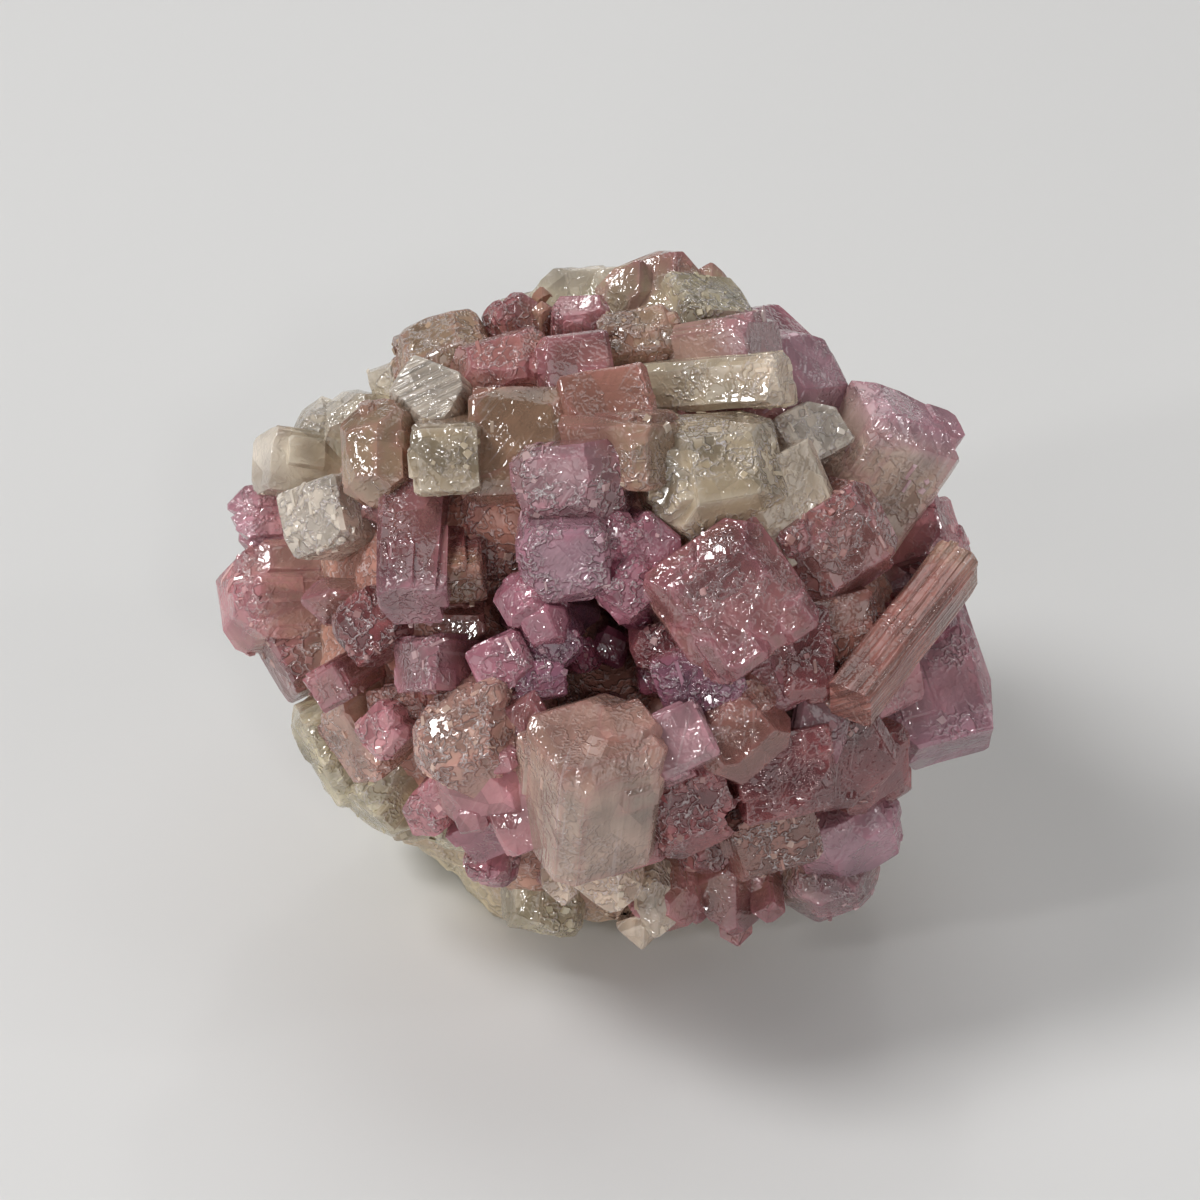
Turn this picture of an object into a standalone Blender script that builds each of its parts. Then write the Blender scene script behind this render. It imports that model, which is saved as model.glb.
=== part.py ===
"""A cluster of intergrown vesuvianite crystals on a foot of pale massive vesuvianite, built as one solid.

Run with: blender --background --python part.py

Lengths are millimetres until the meshes are scaled to metres. The crystals are listed as the eye sees them:
across is to the right, up is up the picture plane and near is towards the eye, from the cluster's middle.
"""

import math
import random

import bmesh
import bpy
from mathutils import Matrix, Vector, noise

MM = 0.001

# The direction and the distance from which the crystals were laid out
VIEW_ELEVATION = math.radians(35.0)
EYE_DISTANCE = 130.0

# The rounded form that the crystal tips reach, from its middle: half its width, depth and height
MIDDLE = Vector((0.0, 0.0, 8.1))
DOME = Vector((9.6, 9.0, 8.1))

# The massive mineral that the crystals root in, drawn out downwards into the foot it broke off by
CORE = Vector((7.3, 6.8, 6.3))
FOOT_REACH = 9.5
FOOT_BACK = 1.3
CORE_ROUGHNESS = 0.10
FOOT_ROUGHNESS = 0.20
CORE_GRAIN = 2.6
CORE_FINENESS = 3

# Hollows in the core between the purple crystals: (across, up, near) of the mouth, the share of the core's
# reach that they sink, and how wide they are in radians from the middle. No spread crystal closes a mouth.
HOLLOWS = (
    ((0.3, -1.5, 6.5), 0.62, 0.54),
    ((-2.8, -0.1, 6.3), 0.45, 0.28),
)
MOUTH_CLEARANCE = 2.2

# Crystals that the list leaves out: those on the sides and back, and short ones in the gaps at the front.
# Nearer than FRONT_NEAR they are small, and nearer than RIM_NEAR they stay behind the listed ones' outline.
SPREAD = 130
FRONT_NEAR = 0.8
RIM_NEAR = -3.5
RIM_SHARE = 0.9
FRONT_GAP = 1.5
SIDE_GAP = 1.3
FRONT_WIDTH = (0.9, 1.4)
SIDE_WIDTH = (2.0, 3.0)
SPREAD_DEPTH = 0.9
SPREAD_LENGTH = 4.0
SPREAD_REACH = (0.90, 1.0)
SPREAD_TILT = 0.3
SPREAD_HABITS = ("bevelled", "block", "pointed", "barrel")
ROUGH_SHARE = 0.6

# Below this height of the direction from the middle, lumps of the foot stand this far out of it
FOOT_BELOW = -0.4
FOOT_LUMP = 1.06
LOWEST_TIP = 0.9

# The crystals deep in the hollow
HOLLOW_LENGTH = 2.6

RIGHT = Vector((1.0, 0.0, 0.0))
UP = Vector((0.0, math.sin(VIEW_ELEVATION), math.cos(VIEW_ELEVATION)))
NEAR = Vector((0.0, -math.cos(VIEW_ELEVATION), math.sin(VIEW_ELEVATION)))

# How much nearer an even octagon's corner face is than the square's corner
OCTAGON_CUT = 1 - 1 / math.sqrt(2)

# A habit says how far the upright edges are cut off (1 makes an even octagon), how many degrees the pyramid
# slopes, how wide the flat top is as a share of the crystal, and how unevenly the faces grew
HABITS = {
    "block": (0.20, 42.0, 0.84, 0.03),
    "bevelled": (0.50, 42.0, 0.58, 0.04),
    "barrel": (0.85, 50.0, 0.48, 0.05),
    "pointed": (0.25, 52.0, 0.10, 0.05),
    "rod": (0.45, 35.0, 0.80, 0.02),
    "capped": (0.60, 40.0, 0.74, 0.02),
    "lump": (0.70, 34.0, 0.45, 0.10),
}

# name, (across, up, near) of its tip, (right, up, near) that it points to, width, depth, length, twist, habit
CRYSTALS = (
    # Left edge and lower left, with pale rough ones low down
    ("left_barrel", (-9.4, 0.05, 1.2), (-0.93, -0.02, 0.36), 2.4, 2.4, 5.5, 20, "barrel"),
    ("left_under", (-8.15, -1.7, 1.0), (-0.85, -0.45, 0.28), 1.7, 1.8, 4.5, 35, "block"),
    ("left_plum", (-5.9, -0.75, 5.9), (-0.3, -0.1, 0.95), 1.65, 1.6, 3.5, 40, "bevelled"),
    ("left_brown", (-6.85, -2.25, 4.9), (-0.45, -0.3, 0.84), 1.1, 1.0, 3.5, 30, "block"),
    ("left_pink_small", (-5.55, -3.35, 5.3), (-0.4, -0.25, 0.88), 1.2, 1.2, 3.5, 45, "bevelled"),
    ("left_lilac_point", (-9.3, 1.95, 0.6), (-0.95, -0.05, 0.3), 1.8, 1.6, 4.0, 10, "pointed"),
    ("left_frost", (-7.3, 2.1, 4.0), (-0.6, 0.0, 0.8), 1.9, 1.7, 4.0, 15, "block"),
    ("left_olive", (-8.5, 3.5, 1.5), (-0.88, 0.12, 0.45), 1.2, 1.6, 5.0, 5, "block"),
    ("left_rough_low", (-7.6, 4.5, 0.5), (-0.75, 0.6, 0.25), 1.8, 1.6, 4.0, 25, "lump"),
    ("left_rough_high", (-6.6, 5.0, 1.0), (-0.6, 0.75, 0.3), 1.7, 1.5, 4.0, 50, "lump"),
    ("green_low_1", (-7.6, -3.6, 1.5), (-0.85, -0.45, 0.25), 2.3, 1.7, 4.5, 15, "lump"),
    ("green_low_2", (-6.9, -4.7, 1.2), (-0.75, -0.6, 0.2), 1.9, 1.6, 4.5, 40, "lump"),
    ("green_low_3", (-5.9, -5.4, 1.5), (-0.6, -0.75, 0.2), 1.9, 1.6, 4.5, 20, "block"),
    ("green_low_4", (-5.1, -6.1, 0.8), (-0.45, -0.85, 0.1), 1.3, 1.2, 4.0, 45, "pointed"),
    ("green_slab", (-6.3, -3.7, 3.6), (-0.6, -0.5, 0.6), 1.4, 2.0, 4.0, 30, "block"),
    # Upper left, and the dark walls left of the hollow
    ("olive_shield", (-5.95, 3.75, 5.8), (-0.45, 0.12, 0.88), 1.6, 2.6, 4.5, 5, "barrel"),
    ("green_block", (-3.9, 3.45, 7.1), (-0.1, -0.15, 0.98), 1.6, 1.6, 4.5, 3, "block"),
    ("green_column", (-3.6, 0.3, 6.5), (0.05, -0.6, 0.8), 1.3, 1.1, 4.5, 8, "block"),
    ("lilac_column", (-4.7, -0.2, 7.0), (-0.02, -0.8, 0.6), 1.6, 1.4, 4.4, 4, "block"),
    ("striated_white", (-4.4, 5.3, 5.1), (-0.25, 0.45, 0.85), 1.8, 1.5, 4.0, -25, "block"),
    ("brown_wall", (-2.1, 4.1, 6.6), (-0.05, 0.3, 0.95), 2.3, 2.7, 5.0, 2, "block"),
    ("maroon_wall", (-2.6, 1.6, 5.8), (0.1, -0.3, 0.95), 1.4, 2.3, 4.0, 5, "block"),
    ("dark_ledge", (-4.1, -0.8, 5.5), (0.0, -0.2, 0.97), 2.3, 1.1, 3.5, 4, "block"),
    # Along the top, from left to right
    ("top_left_block", (-4.3, 6.65, 3.2), (-0.4, 0.65, 0.64), 2.3, 2.1, 4.5, 20, "bevelled"),
    ("top_pink_tip", (-2.1, 7.7, 2.4), (-0.15, 0.85, 0.5), 1.6, 1.4, 4.0, 40, "pointed"),
    ("top_khaki_tip", (-1.25, 7.7, 2.2), (0.0, 0.88, 0.47), 1.1, 1.0, 3.5, 45, "pointed"),
    ("top_pink_flat", (-0.5, 7.4, 2.8), (0.05, 0.8, 0.6), 1.3, 1.1, 3.5, 5, "block"),
    ("red_sparkle", (-2.6, 6.1, 4.9), (-0.2, 0.5, 0.84), 2.4, 1.7, 4.5, 15, "bevelled"),
    ("mauve_top", (-0.6, 5.9, 5.5), (0.0, 0.5, 0.87), 1.8, 2.0, 4.0, 8, "block"),
    ("summit", (1.7, 8.95, 0.7), (0.12, 0.92, 0.35), 2.8, 2.4, 5.0, 42, "pointed"),
    ("summit_right", (2.9, 7.75, 1.4), (0.35, 0.82, 0.45), 2.1, 1.9, 4.5, 15, "block"),
    ("brown_head", (1.0, 7.0, 4.4), (-0.05, 0.65, 0.76), 1.9, 1.4, 4.5, 12, "bevelled"),
    # Upper right, down to the middle
    ("grey_bar", (4.15, 6.4, 4.8), (0.82, 0.1, 0.55), 1.7, 1.5, 4.8, 12, "rod"),
    ("pale_bar", (4.65, 5.55, 5.8), (0.9, 0.05, 0.43), 1.15, 1.2, 4.8, 10, "rod"),
    ("pink_shoulder", (5.4, 5.9, 3.7), (0.6, 0.5, 0.62), 2.8, 2.6, 5.0, 20, "bevelled"),
    ("pink_shoulder_back", (4.5, 6.85, 1.4), (0.5, 0.75, 0.43), 2.1, 2.0, 4.5, 35, "block"),
    ("cream", (5.4, 4.3, 5.1), (0.4, 0.35, 0.85), 1.7, 1.4, 4.0, 30, "block"),
    ("big_frosted", (3.1, 3.3, 7.6), (0.15, 0.2, 0.97), 3.3, 3.4, 5.5, 10, "barrel"),
    ("mauve_side", (4.9, 2.4, 6.6), (0.4, 0.05, 0.92), 2.3, 2.5, 5.0, 25, "block"),
    ("grey_bar_mid", (1.75, 3.7, 7.4), (0.72, -0.05, 0.69), 2.0, 1.7, 4.6, 5, "block"),
    ("khaki_mid", (0.2, 5.1, 6.3), (0.1, 0.4, 0.91), 2.2, 1.5, 4.5, 12, "block"),
    ("sparkle_block", (-1.0, 2.9, 8.0), (-0.2, -0.15, 0.97), 2.7, 1.8, 5.0, 5, "bevelled"),
    # Purple ones round the hollow, and the left of it
    ("lilac_centre", (-0.9, 0.75, 7.8), (-0.05, -0.45, 0.89), 2.1, 1.9, 4.2, 5, "block"),
    ("purple_bars", (1.0, 0.1, 7.4), (0.3, -0.35, 0.88), 1.5, 1.4, 3.8, 40, "bevelled"),
    ("purple_mid_1", (0.4, 1.5, 7.5), (0.1, -0.2, 0.97), 1.2, 1.1, 3.5, 30, "bevelled"),
    ("purple_mid_2", (1.3, 1.3, 7.3), (0.3, -0.1, 0.95), 1.3, 1.3, 3.5, 50, "block"),
    ("purple_left_1", (-1.6, -0.7, 7.2), (-0.15, -0.2, 0.97), 1.5, 1.4, 3.6, 20, "barrel"),
    ("purple_left_2", (-2.15, 0.05, 7.2), (-0.4, 0.1, 0.9), 1.1, 1.1, 3.5, 35, "bevelled"),
    ("magenta_left_1", (-0.95, -1.1, 6.9), (0.3, -0.2, 0.93), 1.2, 1.1, 3.4, 45, "bevelled"),
    ("purple_left_3", (-2.5, -1.6, 7.0), (-0.2, -0.1, 0.97), 1.4, 1.2, 3.6, 25, "block"),
    ("magenta_left_2", (-1.5, -2.05, 6.9), (0.1, -0.3, 0.95), 1.2, 1.0, 3.4, 10, "block"),
    ("lilac_bar", (-4.75, -1.6, 6.3), (-0.7, 0.05, 0.71), 1.5, 1.3, 3.8, 3, "block"),
    ("dark_left", (-5.1, -2.7, 5.0), (-0.3, -0.1, 0.95), 1.5, 1.0, 3.5, 8, "block"),
    # Lower left, and the large clear one in front
    ("tan_ball", (-3.55, -3.5, 7.4), (-0.2, 0.05, 0.98), 2.7, 2.6, 5.0, 20, "barrel"),
    ("tan_small", (-1.9, -2.9, 7.0), (-0.05, -0.1, 0.99), 1.1, 1.1, 3.5, 30, "bevelled"),
    ("pink_low_left", (-3.0, -4.9, 6.7), (-0.2, -0.45, 0.87), 2.4, 1.9, 4.5, 12, "bevelled"),
    ("pink_rough_1", (-4.55, -5.5, 5.0), (-0.5, -0.5, 0.7), 1.1, 1.1, 3.6, 15, "lump"),
    ("pink_rough_2", (-4.1, -5.0, 5.6), (-0.35, -0.4, 0.85), 1.0, 0.9, 3.6, 40, "bevelled"),
    ("front_clear", (-0.05, -3.25, 8.2), (0.08, 0.74, 0.66), 2.85, 2.7, 3.6, 25, "capped"),
    # The lowest ones, from left to right
    ("front_low", (0.15, -8.5, 3.0), (0.06, -0.9, 0.43), 3.1, 2.8, 6.5, 40, "pointed"),
    ("pink_drop", (-2.85, -7.1, 3.0), (-0.15, -0.9, 0.4), 1.1, 1.0, 3.5, 10, "bevelled"),
    ("purple_drop", (-3.0, -6.1, 4.2), (-0.2, -0.7, 0.7), 1.4, 1.2, 3.8, 35, "block"),
    ("pink_purple_low", (-1.9, -5.4, 6.6), (-0.15, -0.3, 0.94), 1.8, 1.7, 4.0, 25, "block"),
    ("brown_thumb", (1.65, -8.1, 2.6), (0.05, -0.85, 0.5), 1.5, 1.4, 5.5, 30, "barrel"),
    ("dark_toe", (3.4, -8.35, 2.0), (0.1, -0.85, 0.5), 2.4, 2.1, 6.0, 40, "pointed"),
    ("lilac_toe", (6.6, -6.5, 2.9), (0.5, -0.65, 0.57), 2.6, 2.4, 5.5, 25, "bevelled"),
    ("grey_toe", (5.95, -7.75, 1.9), (0.25, -0.88, 0.4), 2.4, 2.2, 5.5, 30, "barrel"),
    # Right edge, from below upwards, and beside it
    ("maroon_edge", (7.3, -4.4, 4.2), (0.7, -0.3, 0.65), 2.2, 1.9, 4.5, 15, "bevelled"),
    ("tan_low_right", (6.3, -4.1, 5.6), (0.4, -0.25, 0.88), 2.5, 2.1, 4.5, 35, "block"),
    ("lilac_slab", (8.8, -3.8, 1.7), (0.28, -0.92, 0.27), 2.8, 2.4, 5.0, 10, "block"),
    ("magenta_bud", (8.65, -0.3, 2.8), (0.75, 0.15, 0.64), 1.4, 1.3, 4.0, 25, "bevelled"),
    ("striated_rod", (9.0, 0.95, 4.0), (0.53, 0.63, -0.57), 1.25, 1.1, 5.4, 20, "rod"),
    ("rod_foot", (6.3, -2.4, 6.4), (0.15, -0.2, 0.97), 1.1, 1.0, 3.5, 35, "block"),
    ("right_pink_small_1", (8.75, 2.0, 2.2), (0.85, 0.3, 0.43), 1.3, 1.3, 4.5, 15, "block"),
    ("right_pink_small_2", (9.1, 1.05, 1.8), (0.9, -0.05, 0.42), 1.2, 1.2, 4.5, 40, "block"),
    ("right_pink_big", (7.9, 4.85, 3.6), (0.5, 0.75, 0.43), 2.7, 2.4, 5.5, 0, "bevelled"),
    ("maroon_head", (6.25, 1.3, 6.4), (0.42, -0.12, 0.9), 2.7, 2.4, 5.0, 30, "bevelled"),
    ("sparkle_brown", (6.15, -0.85, 6.2), (0.35, -0.15, 0.92), 1.9, 1.8, 4.0, 12, "block"),
    ("maroon_face", (5.2, -1.3, 6.9), (0.2, 0.1, 0.97), 1.2, 2.2, 4.0, 5, "block"),
    ("pink_behind_rod", (7.4, -1.9, 5.0), (0.6, -0.2, 0.77), 2.1, 2.0, 4.5, 20, "block"),
    ("mauve_strip", (5.6, -3.0, 6.3), (0.2, 0.1, 0.97), 1.3, 1.9, 4.0, -12, "block"),
    # Right of the hollow, down to the lower middle
    ("big_mauve", (3.35, 0.05, 8.1), (0.05, 0.0, 1.0), 3.2, 3.2, 5.5, 35, "bevelled"),
    ("plum_below", (2.5, -2.2, 7.4), (0.0, -0.3, 0.95), 2.0, 1.7, 4.0, 20, "block"),
    ("hollow_right", (1.3, -1.3, 6.8), (-0.3, -0.2, 0.93), 1.2, 1.2, 3.5, 15, "lump"),
    ("mauve_low_right", (4.3, -1.9, 7.0), (0.15, -0.1, 0.98), 1.9, 1.8, 4.0, 25, "block"),
    ("white_glint", (1.9, -3.5, 7.9), (-0.1, 0.15, 0.98), 1.7, 1.5, 4.5, 25, "block"),
    ("mauve_low_1", (3.5, -3.2, 7.5), (0.1, 0.1, 0.99), 2.3, 2.1, 4.5, 40, "bevelled"),
    ("mauve_low_2", (4.7, -4.4, 6.7), (0.2, -0.1, 0.97), 2.3, 2.1, 4.5, 10, "block"),
    ("red_low", (2.4, -5.3, 7.0), (0.05, -0.3, 0.95), 2.5, 2.3, 5.0, 30, "bevelled"),
    ("sparkle_low", (4.3, -6.0, 5.4), (0.15, -0.45, 0.88), 2.3, 2.2, 5.0, 15, "block"),
    ("red_low_left", (0.8, -6.0, 6.0), (0.0, -0.4, 0.9), 1.8, 1.7, 4.5, 20, "block"),
    # Pale rough ones behind the top and under the front
    ("rough_top_1", (-0.7, 8.3, -0.8), (-0.1, 0.97, -0.2), 2.4, 2.0, 4.5, 15, "lump"),
    ("rough_top_2", (-1.9, 7.75, -0.6), (-0.25, 0.95, -0.1), 2.0, 1.8, 4.5, 35, "lump"),
    ("rough_top_3", (0.5, 8.25, -0.8), (0.1, 0.97, -0.2), 2.2, 1.8, 4.5, 55, "lump"),
    ("green_under", (-1.5, -8.4, 0.2), (-0.1, -0.95, 0.1), 1.9, 1.7, 4.5, 20, "lump"),
    ("green_edge", (-4.0, -6.15, 0.6), (-0.4, -0.88, 0.1), 2.2, 1.7, 4.0, 30, "lump"),
)

# Small crystals that line the hollow: tip and direction as above, width, twist
HOLLOW_CRYSTALS = (
    ((-0.3, -1.4, 5.4), (0.45, 0.0, 0.9), 0.8, 20),
    ((0.9, -0.5, 5.6), (0.0, -0.45, 0.9), 0.8, 50),
    ((0.3, -2.6, 5.2), (0.1, 0.4, 0.9), 0.9, 35),
    ((1.2, -1.9, 5.4), (-0.4, 0.1, 0.9), 0.8, 10),
    ((0.3, -1.2, 4.4), (0.1, -0.1, 1.0), 0.9, 65),
)


def seen_at(across, up, near):
    """The place that the eye sees at (across, up) on the middle plane, near millimetres in front of it."""
    shrink = (EYE_DISTANCE - near) / EYE_DISTANCE
    return MIDDLE + (RIGHT * across + UP * up) * shrink + NEAR * near


def towards(right, up, near):
    return (RIGHT * right + UP * up + NEAR * near).normalized()


def nearness(place):
    return (place - MIDDLE).dot(NEAR)


def cut(bm, point, normal):
    """Cuts off what lies beyond a plane and closes the cut with one face."""
    found = bmesh.ops.bisect_plane(
        bm, geom=bm.verts[:] + bm.edges[:] + bm.faces[:], dist=1e-5,
        plane_co=point, plane_no=normal, clear_outer=True)
    edges = [item for item in found["geom_cut"] if isinstance(item, bmesh.types.BMEdge)]
    if edges:
        bmesh.ops.edgeloop_fill(bm, edges=edges)


def crystal_mesh(name, width, depth, length, habit):
    """A four-sided crystal that points up +Z, with its tip at the origin and slightly uneven faces."""
    rng = random.Random(name)
    edge_cut, slope, flat, uneven = HABITS[habit]
    half = Vector((width / 2, depth / 2, 0.0))
    bm = bmesh.new()
    bmesh.ops.create_cube(bm, size=2.0)
    for vert in bm.verts:
        vert.co = Vector((vert.co.x * width, vert.co.y * depth, (vert.co.z - 1) * length / 2))
    for quarter in range(4):
        out = Matrix.Rotation(quarter * math.pi / 2, 3, "Z") @ Vector((1.0, 0.0, 0.0))
        reach = abs(out.dot(half)) * rng.uniform(1 - uneven, 1 + uneven)
        lean = rng.uniform(-uneven, uneven)
        cut(bm, out * reach, (out + Vector((0.0, 0.0, lean))).normalized())
        steep = math.radians(slope) + rng.uniform(-2 * uneven, 2 * uneven)
        flat_here = flat * rng.uniform(1 - 5 * uneven, 1 + 4 * uneven)
        cut(bm, out * reach * flat_here, out * math.sin(steep) + Vector((0.0, 0.0, math.cos(steep))))
    for quarter in range(4):
        out = Matrix.Rotation((quarter + 0.5) * math.pi / 2, 3, "Z") @ Vector((1.0, 0.0, 0.0))
        full = abs(out.x) * half.x + abs(out.y) * half.y
        cut_here = edge_cut * rng.uniform(1 - 8 * uneven, 1 + 8 * uneven)
        cut(bm, out * full * (1 - OCTAGON_CUT * cut_here), out)
    top = Vector((rng.uniform(-uneven, uneven), rng.uniform(-uneven, uneven), 1.0)).normalized()
    cut(bm, Vector((0.0, 0.0, -uneven * width / 2)), top)
    mesh = bpy.data.meshes.new(name)
    bm.to_mesh(mesh)
    bm.free()
    return mesh


def add_crystal(crystals, name, tip, aim, width, depth, length, twist, habit):
    """A crystal turned from facing the eye to its own direction the shortest way, then placed by its tip."""
    mesh = crystal_mesh(name, width, depth, length, habit)
    facing = Matrix((RIGHT, UP, NEAR)).transposed()
    turned = NEAR.rotation_difference(aim).to_matrix() @ facing
    turned = turned @ Matrix.Rotation(math.radians(twist), 3, "Z")
    mesh.transform(Matrix.Scale(MM, 4) @ Matrix.Translation(tip) @ turned.to_4x4())
    helper = bpy.data.objects.new(name, mesh)
    helper.hide_render = True
    helper.display_type = "WIRE"
    crystals.objects.link(helper)


def add_listed_crystals(crystals):
    """Adds the crystals that the photograph shows, and returns where their tips are."""
    tips = []
    for name, seen, aim, width, depth, length, twist, habit in CRYSTALS:
        tip = seen_at(*seen)
        tips.append(tip)
        add_crystal(crystals, name, tip, towards(*aim), width, depth, length, twist, habit)
    for number, (seen, aim, width, twist) in enumerate(HOLLOW_CRYSTALS, 1):
        tip = seen_at(*seen)
        tips.append(tip)
        add_crystal(
            crystals, f"hollow_{number}", tip, towards(*aim), width, width, HOLLOW_LENGTH, twist, "bevelled")
    return tips


def spread_directions(count):
    """Directions spread evenly over a sphere, along a spiral."""
    golden_angle = math.pi * (3 - math.sqrt(5))
    for index in range(count):
        height = 1 - (2 * index + 1) / count
        ring = math.sqrt(1 - height * height)
        yield Vector((ring * math.cos(index * golden_angle), ring * math.sin(index * golden_angle), height))


def ellipsoid_reach(direction, radii):
    return 1 / math.sqrt(sum((part / radius) ** 2 for part, radius in zip(direction, radii)))


def closes_a_hollow(place):
    return any((place - seen_at(*mouth)).length < MOUTH_CLEARANCE for mouth, _, _ in HOLLOWS)


def add_spread_crystals(crystals, tips):
    """Adds crystals where the list leaves the rounded form bare."""
    rng = random.Random("spread")
    for number, direction in enumerate(spread_directions(SPREAD)):
        shorter = rng.uniform(*SPREAD_REACH)
        wide_share = rng.random()
        tilt = Vector([rng.uniform(-SPREAD_TILT, SPREAD_TILT) for _ in range(3)])
        rough = rng.random() < ROUGH_SHARE
        twist = rng.uniform(0, 90)

        place = MIDDLE + direction * ellipsoid_reach(direction, DOME) * shorter
        front = nearness(place) > FRONT_NEAR
        low, high = FRONT_WIDTH if front else SIDE_WIDTH
        width = low + (high - low) * wide_share
        if nearness(place) > RIM_NEAR:
            place = MIDDLE + (place - MIDDLE) * RIM_SHARE
        on_foot = core_place(direction, FOOT_LUMP)
        if direction.z < FOOT_BELOW and on_foot.z < place.z:
            place = on_foot
            rough = True

        gap = min((place - tip).length for tip in tips)
        if gap < (FRONT_GAP if front else SIDE_GAP) or closes_a_hollow(place) or place.z < LOWEST_TIP:
            continue
        outward = Vector([part / radius ** 2 for part, radius in zip(direction, DOME)]).normalized()
        aim = (outward + tilt).normalized()
        habit = "lump" if rough and not front else SPREAD_HABITS[number % len(SPREAD_HABITS)]
        depth = width * SPREAD_DEPTH
        add_crystal(crystals, f"spread_{number}", place, aim, width, depth, SPREAD_LENGTH, twist, habit)


def core_place(direction, share=1.0):
    """Where the core ends in a direction, with its foot drawn down and back and its hollows sunk in."""
    low = max(0.0, -direction.z)
    reach = ellipsoid_reach(direction, Vector((CORE.x, CORE.y, FOOT_REACH if low else CORE.z)))
    roughness = CORE_ROUGHNESS + (FOOT_ROUGHNESS - CORE_ROUGHNESS) * low
    reach *= share + roughness * noise.noise(direction * CORE_GRAIN)
    for mouth, depth, width in HOLLOWS:
        apart = direction.angle((seen_at(*mouth) - MIDDLE).normalized())
        reach *= 1 - depth * max(0.0, 1 - (apart / width) ** 2) ** 2
    return MIDDLE + direction * reach + Vector((0.0, FOOT_BACK * low, 0.0))


def make_core():
    """The closed lump of massive mineral, as a mesh in metres."""
    bm = bmesh.new()
    bmesh.ops.create_icosphere(bm, subdivisions=CORE_FINENESS, radius=1.0)
    for vert in bm.verts:
        vert.co = core_place(vert.co.normalized()) * MM
    mesh = bpy.data.meshes.new("crystal_cluster")
    bm.to_mesh(mesh)
    bm.free()
    return mesh


def make_ground():
    """A block under z = 0 that cuts the foot off flat."""
    size = 4 * MIDDLE.z * MM
    bm = bmesh.new()
    bmesh.ops.create_cube(bm, size=size)
    bmesh.ops.translate(bm, verts=bm.verts, vec=(0.0, 0.0, -size / 2))
    mesh = bpy.data.meshes.new("ground_cut")
    bm.to_mesh(mesh)
    bm.free()
    ground = bpy.data.objects.new("ground_cut", mesh)
    ground.hide_render = True
    ground.display_type = "WIRE"
    bpy.context.scene.collection.objects.link(ground)
    return ground


def crystal_material():
    material = bpy.data.materials.new("vesuvianite")
    material.use_nodes = True
    shader = material.node_tree.nodes["Principled BSDF"]
    shader.inputs["Base Color"].default_value = (0.42, 0.25, 0.24, 1.0)
    shader.inputs["Roughness"].default_value = 0.15
    shader.inputs["Metallic"].default_value = 0.0
    return material


def connected_verts(bm):
    """The vertices in sets, each set being one skin of the mesh."""
    skins = []
    unseen = set(bm.verts)
    while unseen:
        to_follow = [unseen.pop()]
        skin = set(to_follow)
        while to_follow:
            for edge in to_follow.pop().link_edges:
                found = unseen.intersection(edge.verts)
                unseen -= found
                skin |= found
                to_follow.extend(found)
        skins.append(skin)
    return skins


def keep_outer_skin(mesh):
    """Deletes the skins of the closed pockets between the crystals, which makes the inside solid."""
    bm = bmesh.new()
    bm.from_mesh(mesh)
    pockets = sorted(connected_verts(bm), key=len)[:-1]
    bmesh.ops.delete(bm, geom=[vert for skin in pockets for vert in skin], context="VERTS")
    bm.to_mesh(mesh)
    bm.free()


def main():
    for obj in list(bpy.data.objects):
        bpy.data.objects.remove(obj)

    crystals = bpy.data.collections.new("crystals")
    bpy.context.scene.collection.children.link(crystals)
    tips = add_listed_crystals(crystals)
    add_spread_crystals(crystals, tips)

    cluster = bpy.data.objects.new("crystal_cluster", make_core())
    cluster.data.materials.append(crystal_material())
    bpy.context.scene.collection.objects.link(cluster)

    join = cluster.modifiers.new("join the crystals", "BOOLEAN")
    join.operation = "UNION"
    join.operand_type = "COLLECTION"
    join.collection = crystals

    flat = cluster.modifiers.new("cut the foot flat", "BOOLEAN")
    flat.operation = "DIFFERENCE"
    flat.object = make_ground()

    shapes = bpy.context.evaluated_depsgraph_get()
    joined = bpy.data.meshes.new_from_object(cluster.evaluated_get(shapes))
    cluster.modifiers.clear()
    cluster.data = joined
    keep_outer_skin(joined)


main()
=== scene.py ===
import math
import random

import bmesh
import bpy
from mathutils import Matrix, Vector, noise


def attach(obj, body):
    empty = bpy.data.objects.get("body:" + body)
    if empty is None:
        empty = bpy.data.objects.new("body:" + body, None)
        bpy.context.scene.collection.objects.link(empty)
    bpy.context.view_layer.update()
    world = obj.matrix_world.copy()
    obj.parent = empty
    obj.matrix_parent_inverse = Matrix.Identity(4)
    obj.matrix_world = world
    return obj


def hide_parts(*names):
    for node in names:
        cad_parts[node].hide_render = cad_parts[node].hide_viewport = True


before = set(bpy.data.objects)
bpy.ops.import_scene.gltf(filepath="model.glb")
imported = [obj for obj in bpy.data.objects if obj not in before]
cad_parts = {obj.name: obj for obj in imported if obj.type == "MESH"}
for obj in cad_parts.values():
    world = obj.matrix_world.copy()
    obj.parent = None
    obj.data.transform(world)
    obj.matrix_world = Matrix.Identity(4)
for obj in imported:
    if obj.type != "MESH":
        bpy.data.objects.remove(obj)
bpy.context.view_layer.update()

mm = 0.001

# Where the photograph was taken from. Lengths are millimetres throughout, until a mesh is made
photoView = {
    "elevation": 35.0,
    "distance": 130.0,
    "frameWidth": 30.0,
}

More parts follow.
